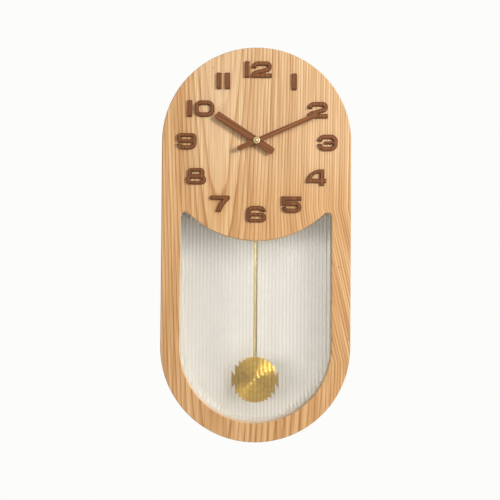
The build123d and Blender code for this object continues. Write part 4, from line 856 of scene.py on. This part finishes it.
class CLOCK_OT_pendulum(bpy.types.Operator):
    """Brass rod and bob"""

    bl_idname = "clock.pendulum"
    bl_label = "Pendulum"

    def execute(self, context):
        metal = context.scene.clock_metal
        bob = turned_material(
            "Bob Brass",
            tuple(metal.brass),
            center_z=BOB_Z,
            pitch=0.00035,
            low=0.36,
            high=0.46,
            strength=0.05,
            drawn=1.0,
            curve=BOB_CURVE,
        )
        paint(bob, "pendulum_bob")
        rod = plain_material("Rod Brass", tuple(metal.rod_brass), 0.2, 0.32, 0.03, Metallic=1.0)
        paint(rod, "pendulum_rod")
        return {"FINISHED"}


class CLOCK_OT_movement(bpy.types.Operator):
    """Movement case, train, motor, circuit and battery"""

    bl_idname = "clock.movement"
    bl_label = "Movement"

    def execute(self, context):
        black = plain_material("Black Moulding", srgb(36, 36, 38), 0.48, 0.6, 0.25, 1800.0)
        paint(
            black,
            "movement_front_shell",
            "movement_rear_cover",
            "setting_knob",
            "pendulum_hanger",
        )
        white = plain_material("White Moulding", srgb(232, 230, 222), 0.35, 0.45, 0.05)
        paint(
            white,
            "hour_wheel",
            "minute_wheel",
            "third_wheel",
            "seconds_wheel",
            "intermediate_wheel",
            "rotor_pinion",
        )
        copper = plain_material(
            "Copper Winding", srgb(196, 112, 62), 0.28, 0.4, 0.2, Metallic=1.0
        )
        paint(copper, "motor_coil", "pendulum_coil")
        dark = plain_material("Sintered Magnet", srgb(64, 64, 66), 0.42, 0.6, 0.2)
        paint(dark, "rotor_magnet", "pendulum_magnet")
        green = plain_material("Circuit Board", srgb(38, 104, 60), 0.3, 0.4, 0.05)
        paint(green, "circuit_board")
        rubber = plain_material("Black Rubber", srgb(34, 34, 34), 0.75, 0.85, 0.2)
        paint(rubber, "rubber_gasket")
        paint(battery_material(), "battery")
        return {"FINISHED"}


class CLOCK_OT_fittings(bpy.types.Operator):
    """Steel hanger, clips, contacts, pins and screws"""

    bl_idname = "clock.fittings"
    bl_label = "Fittings"

    def execute(self, context):
        base = tuple(context.scene.clock_metal.zinc)
        steel = plain_material("Plated Steel", base, 0.28, 0.44, 0.08, Metallic=1.0)
        for name in SCREWS:
            screws = self.recess_heads(name)
            screws.data.materials.append(steel)
            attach(screws, "case")
            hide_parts(name)
        paint(
            steel,
            "hanger_plate",
            "glazing_clips",
            "bob_clip",
            "hanger_pivot_pin",
            "positive_contact",
            "negative_contact",
            "quartz_crystal",
            "stator",
        )
        return {"FINISHED"}

    def recess_heads(self, name):
        """Copy of the CAD screws with a cross recess in each head."""
        mesh = copy_mesh(name)
        flat = [face for face in mesh.faces if face.normal.y > LEVEL_HEAD]
        for head in bmesh.ops.dissolve_faces(mesh, faces=flat)["region"]:
            self.cut_cross(mesh, head)
        bmesh.ops.recalc_face_normals(mesh, faces=mesh.faces)
        return finish_mesh(mesh, f"recessed_{name}")

    def cut_cross(self, mesh, head):
        """Replace a flat head by one with a cross sunk into it."""
        middle = head.calc_center_median()
        radius = (head.verts[0].co - middle).length
        reach = CROSS_REACH * radius
        centre = Matrix.Translation(middle)
        space = centre.inverted()
        made = bmesh.ops.create_grid(
            mesh,
            x_segments=3,
            y_segments=3,
            size=reach,
            matrix=centre @ Matrix.Rotation(math.radians(90), 4, "X"),
        )["verts"]
        columns = [vert for vert in made if abs(vert.co.x - middle.x) < reach / 2]
        rows = [vert for vert in made if abs(vert.co.z - middle.z) < reach / 2]
        bmesh.ops.scale(mesh, verts=columns, vec=(CROSS_SLIM, 1, 1), space=space)
        bmesh.ops.scale(mesh, verts=rows, vec=(1, 1, CROSS_SLIM), space=space)
        corners = [vert for vert in made if vert not in columns and vert not in rows]
        bmesh.ops.delete(mesh, geom=corners, context="VERTS")
        cross = columns + [vert for vert in rows if vert not in columns]
        outline = list({edge for vert in cross for edge in vert.link_edges if edge.is_boundary})
        mouth = bmesh.ops.extrude_edge_only(mesh, edges=outline)["geom"]
        bmesh.ops.scale(mesh, verts=cross, vec=(CROSS_TAPER, 1, CROSS_TAPER), space=space)
        bmesh.ops.translate(mesh, verts=cross, vec=(0, -CROSS_DEPTH * radius, 0))
        rim = list(head.edges) + [
            edge for edge in mouth if isinstance(edge, bmesh.types.BMEdge) and edge.is_boundary
        ]
        bmesh.ops.delete(mesh, geom=[head], context="FACES_ONLY")
        bmesh.ops.triangle_fill(mesh, use_beauty=True, edges=rim, normal=(0, 1, 0))


class CLOCK_OT_stage(bpy.types.Operator):
    """Floor, soft light, background and camera"""

    bl_idname = "clock.stage"
    bl_label = "Stage"

    def execute(self, context):
        scene = context.scene
        settings = scene.clock_stage
        scene.view_settings.view_transform = "Standard"
        self.build_floor(settings)
        self.build_card()
        self.build_light(scene, settings)
        self.build_world(scene, settings)
        self.build_camera(scene, settings)
        return {"FINISHED"}

    def build_floor(self, settings):
        """A pale disc that the camera sees mostly as the backdrop."""
        mesh = bmesh.new()
        level = Matrix.Translation((0, 0, FLOOR_Z))
        bmesh.ops.create_circle(
            mesh, cap_ends=True, segments=96, radius=FLOOR_RADIUS, matrix=level
        )
        floor = finish_mesh(mesh, "pale_floor")
        material, tree, shader = new_material(
            "Pale Floor", Roughness=0.9, Base_Color=srgb(244, 243, 240)
        )
        path = add_node(tree, "ShaderNodeLightPath")
        backdrop = {"Color": tuple(settings.backdrop), "Strength": 1.0}
        glow = add_node(tree, "ShaderNodeEmission", backdrop)
        share = calculate(tree, "MULTIPLY", path.outputs["Is Camera Ray"], 0.8)
        mix_surface(tree, share, shader, glow)
        floor.data.materials.append(material)

    def build_card(self):
        """A dark card beside the camera that metal and glass reflect and the camera doesn't see."""
        mesh = bmesh.new()
        upright = Matrix.Translation(CARD_PLACE) @ Matrix.Rotation(math.radians(90), 4, "X")
        bmesh.ops.create_grid(mesh, x_segments=1, y_segments=1, size=CARD_HALF, matrix=upright)
        card = finish_mesh(mesh, "dark_card")
        material, tree, shader = new_material(
            "Dark Card", Roughness=0.9, Base_Color=srgb(40, 38, 34)
        )
        path = add_node(tree, "ShaderNodeLightPath")
        clear = add_node(tree, "ShaderNodeBsdfTransparent")
        mix_surface(tree, path.outputs["Is Glossy Ray"], clear, shader)
        card.data.materials.append(material)

    def build_light(self, scene, settings):
        """Round lamps, some of which light only some pieces."""
        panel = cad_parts["back_panel"]
        others = [piece for piece in scene.objects if piece.type == "MESH" and piece != panel]
        # Name, direction from the clock, distance, size, power and the pieces lit, or none for all
        lamps = (
            ("key_lamp", (1.0, -1.15, 0.45), 1.25, 0.5, settings.key_power, others),
            ("front_lamp", (-0.3, -1.0, 0.2), 2.0, 1.2, settings.front_power, others),
            ("panel_lamp", (-1.3, -1.0, 0.0), 2.0, 0.8, settings.panel_power, [panel]),
            ("back_lamp", (-0.5, 1.0, 0.35), 2.0, 1.2, settings.back_power, []),
        )
        for name, toward, distance, size, power, lit in lamps:
            place = LAMP_AIM + Vector(toward).normalized() * distance
            lamp = bpy.data.lights.new(name, "AREA")
            lamp.shape = "DISK"
            lamp.size = size
            lamp.energy = power
            lamp.color = LAMP_TINT
            held = bpy.data.objects.new(name, lamp)
            held.location = place
            held.rotation_euler = (LAMP_AIM - place).to_track_quat("-Z", "Y").to_euler()
            scene.collection.objects.link(held)
            if lit:
                receivers = bpy.data.collections.new(f"lit by {name}")
                for piece in lit:
                    receivers.objects.link(piece)
                held.light_linking.receiver_collection = receivers

    def build_world(self, scene, settings):
        """Faint even light, which the camera, metal and glass see as the backdrop."""
        world = bpy.data.worlds.new("Studio")
        world.use_nodes = True
        scene.world = world
        tree = world.node_tree
        path = add_node(tree, "ShaderNodeLightPath").outputs
        seen = calculate(tree, "MAXIMUM", path["Is Camera Ray"], path["Is Glossy Ray"])
        seen = calculate(tree, "MAXIMUM", seen, path["Is Transmission Ray"])
        strength = map_range(tree, seen, 0.0, 1.0, settings.fill, 1.0)
        sky = tree.nodes["Background"]
        sky.inputs["Color"].default_value = tuple(settings.backdrop)
        tree.links.new(strength, sky.inputs["Strength"])

    def build_camera(self, scene, settings):
        """Camera in front of the dial, a little low and turned as in the photograph."""
        camera = bpy.data.cameras.new("Camera")
        camera.sensor_width = SENSOR
        camera.lens = SENSOR * settings.distance / settings.span
        camera.clip_start = 0.01
        seen = bpy.data.objects.new("Camera", camera)
        pixel = settings.span / PICTURE
        seen.location = (
            CAMERA_SHIFT_X * pixel,
            DIAL_Y - settings.distance,
            MIDDLE_Z + CAMERA_SHIFT_Z * pixel - CAMERA_DROP,
        )
        seen.rotation_euler = (math.radians(CAMERA_TILT), math.radians(CAMERA_ROLL), 0)
        scene.collection.objects.link(seen)
        scene.camera = seen


class CLOCK_PT_panel(bpy.types.Panel):
    """Settings and steps of the clock"""

    bl_idname = "CLOCK_PT_panel"
    bl_label = "Pendulum Wall Clock"
    bl_space_type = "VIEW_3D"
    bl_region_type = "UI"
    bl_category = "Clock"

    def draw(self, context):
        layout = self.layout
        for name, group in SETTINGS:
            box = layout.box()
            for key in group.__annotations__:
                box.prop(getattr(context.scene, name), key)
        for step in STEPS:
            layout.operator(step.bl_idname)


SETTINGS = (
    ("clock_wood", ClockWoodSettings),
    ("clock_metal", ClockMetalSettings),
    ("clock_stage", ClockStageSettings),
)
STEPS = (
    CLOCK_OT_case,
    CLOCK_OT_numerals,
    CLOCK_OT_hands,
    CLOCK_OT_glass,
    CLOCK_OT_pendulum,
    CLOCK_OT_movement,
    CLOCK_OT_fittings,
    CLOCK_OT_stage,
)


def register():
    for name, group in SETTINGS:
        bpy.utils.register_class(group)
        setattr(bpy.types.Scene, name, bpy.props.PointerProperty(type=group))
    for step in STEPS:
        bpy.utils.register_class(step)
    bpy.utils.register_class(CLOCK_PT_panel)


def unregister():
    bpy.utils.unregister_class(CLOCK_PT_panel)
    for step in reversed(STEPS):
        bpy.utils.unregister_class(step)
    for name, group in reversed(SETTINGS):
        delattr(bpy.types.Scene, name)
        bpy.utils.unregister_class(group)


def main():
    """Build the clock's looks."""
    register()
    bpy.ops.clock.case()
    bpy.ops.clock.numerals()
    bpy.ops.clock.hands()
    bpy.ops.clock.glass()
    bpy.ops.clock.pendulum()
    bpy.ops.clock.movement()
    bpy.ops.clock.fittings()
    bpy.ops.clock.stage()


if __name__ == "__main__":
    main()
